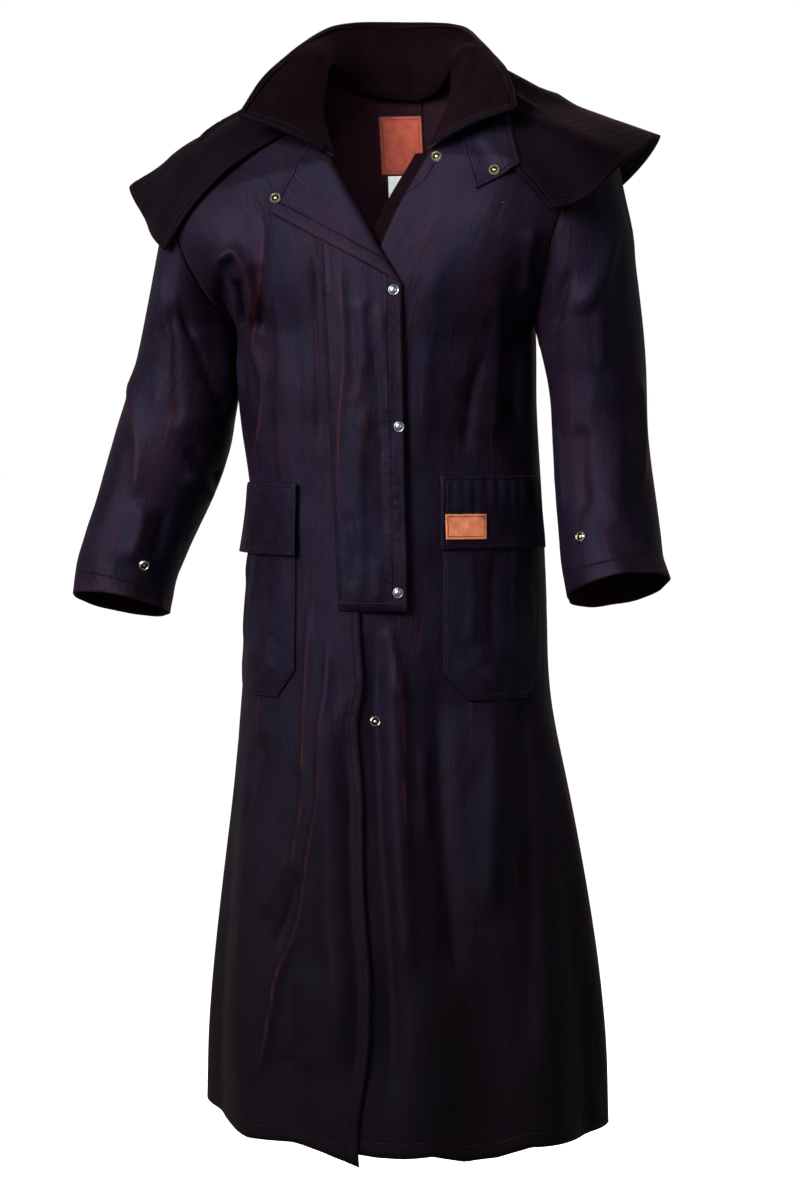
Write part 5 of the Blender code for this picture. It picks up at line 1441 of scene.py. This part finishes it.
thread, wire, feed = principled("dark_thread", specular_ior_level=0.3, roughness=0.6)
uneven = wire.node("TexNoise", {"Vector": wire.node("TexCoord", output=3), "Scale": 30.0, "Detail": 3.0})
feed("Base Color", uneven.between(0.35, 0.65).mix((0.006, 0.005, 0.007), (0.024, 0.014, 0.017)))
INNER_EDGE_ROWS = {
    "front_right": [("left", 9, 0, 0.5)],
    "front_left": [("left", 14, 0.66, 0.85), ("left", 5, 0.66, 0.85), ("left", 9, 0, 0.5)],
    "back_right": [("left", 5, 0, 0.93)],
    "back_left": [("left", 5, 0, 0.93)],
}
for name, inner_rows in INNER_EDGE_ROWS.items():
    armhole_rows = [("right", inset, 0.62, 1.0) for inset in (4, 9)]
    stitches(name, seams(panel_at[name], panel_normals[name], ("low", HEM), *inner_rows, *armhole_rows))
free_edges = ("left", "right", "low")
for name in ("right", "left"):
    stitches("sleeve_" + name,
             seams(*sleeves[name], *rows_at(["high"], CUFF_HEM, 15), *rows_at(["low"], 5, 9)))
    stitches("pocket_" + name, seams(*bags[name], *rows_at(free_edges, 2.5, 8))
             + seams(*covers[name], *rows_at(free_edges, 6), *rows_at(["high"], 3, 9)))
stitches("cape", seams(cape, outward_normals(cape), *rows_at(("left", "right", "high"), 4, 9.5)))
stitches("storm_flap", seams(flap, outward_normals(flap), *rows_at(["right"], 16, 3), ("low", 11),
                             ("left", 4, 0, 0.8)))
stitches("throat_tab", seams(tab, outward_normals(tab), *rows_at(free_edges, 5)))
stitches("collar", [(path + into * 7.0 + facing_out * 3.0, facing_out)], lift=0.3)

# Floor and light. A plain white studio with a large soft lamp from the wearer's right, a weak one
# from the left, a strong one behind and a small one into the neck. The camera stands level with
# the waist, a little to the wearer's left.
FLOOR_Z, FLOOR_HALF = -1.62, 90
floor_mesh = bpy.data.meshes.new("floor")
floor_corners = ((-1, -1), (1, -1), (1, 1), (-1, 1))
floor_mesh.from_pydata([(x * FLOOR_HALF, y * FLOOR_HALF, FLOOR_Z) for x, y in floor_corners],
                       [], [(0, 1, 2, 3)])
floor = in_scene("floor", floor_mesh)
floor.visible_diffuse = floor.visible_glossy = False
pale, wire, feed = principled("pale_floor", roughness=0.9, specular_ior_level=0.0, emission_strength=0.92,
                              emission_color=(1, 1, 1, 1))
cloudy = wire.node("TexNoise", {"Scale": 2.0}).between(0, 1)
feed("Base Color", cloudy.mix((0.60, 0.60, 0.60), (0.64, 0.64, 0.64)))
floor_mesh.materials.append(pale)
world = bpy.data.worlds.new("studio")
bpy.context.scene.world = world
world.use_nodes = True
sky = Wire(world.node_tree)
towards = sky.node("SeparateXYZ", {0: sky.node("TexCoord")}, "Y")
seen = sky.node("LightPath")      # 1 where the camera looks straight at the wall, which is then white
bright = seen + (1 - seen) * (towards.between(-0.3, 0.6) * 0.10 + 0.18)
wall = world.node_tree.nodes["Background"]
world.node_tree.links.new(bright.socket, wall.inputs[1])
wall.inputs[0].default_value = (1, 1, 1, 1)


def aimed(name, held, at, aim):
    """A lamp or camera in its place, turned towards what it shines on or sees."""
    made = in_scene(name, held)
    made.location = at
    made.rotation_euler = (Vector(aim) - Vector(at)).to_track_quat("-Z", "Y").to_euler()
    return made


for name, at, aim, energy, size, spread in (
    ("key", (-1.55, -2.42, 0.9), (-0.09, 0, -0.22), 33.5, 1.7, 64),
    ("fill", (1.6, -2.6, 0.2), (0, 0, -0.4), 5, 1.6, 120),
    ("back", (0.2, 2.6, 1.4), (0, 0.2, -0.7), 70, 1.6, 80),
    ("neck", (0.30, -2.6, 0.62), (0.012, 0.07, -0.15), 0.12, 0.12, 8)):
    lamp = bpy.data.lights.new(name, "AREA")
    lamp.energy, lamp.size, lamp.spread = energy, size, math.radians(spread)
    aimed(name, lamp, at, aim).visible_glossy = name != "back"
CAMERA_TURN, CAMERA_AWAY, CAMERA_SHIFT = math.radians(12), 3.2, 0.00488
CAMERA_Z, CAMERA_AIM_Z = -0.473, -0.656
shift = Vector((math.cos(CAMERA_TURN), math.sin(CAMERA_TURN), 0)) * CAMERA_SHIFT
stand = Vector((math.sin(CAMERA_TURN) * CAMERA_AWAY, -math.cos(CAMERA_TURN) * CAMERA_AWAY, CAMERA_Z)) + shift
camera = aimed("camera", bpy.data.cameras.new("camera"), stand, Vector((0, 0, CAMERA_AIM_Z)) + shift)
camera.data.lens, camera.data.sensor_width = 78.7, 36
bpy.context.scene.camera = camera
bpy.context.scene.view_settings.view_transform = "Standard"
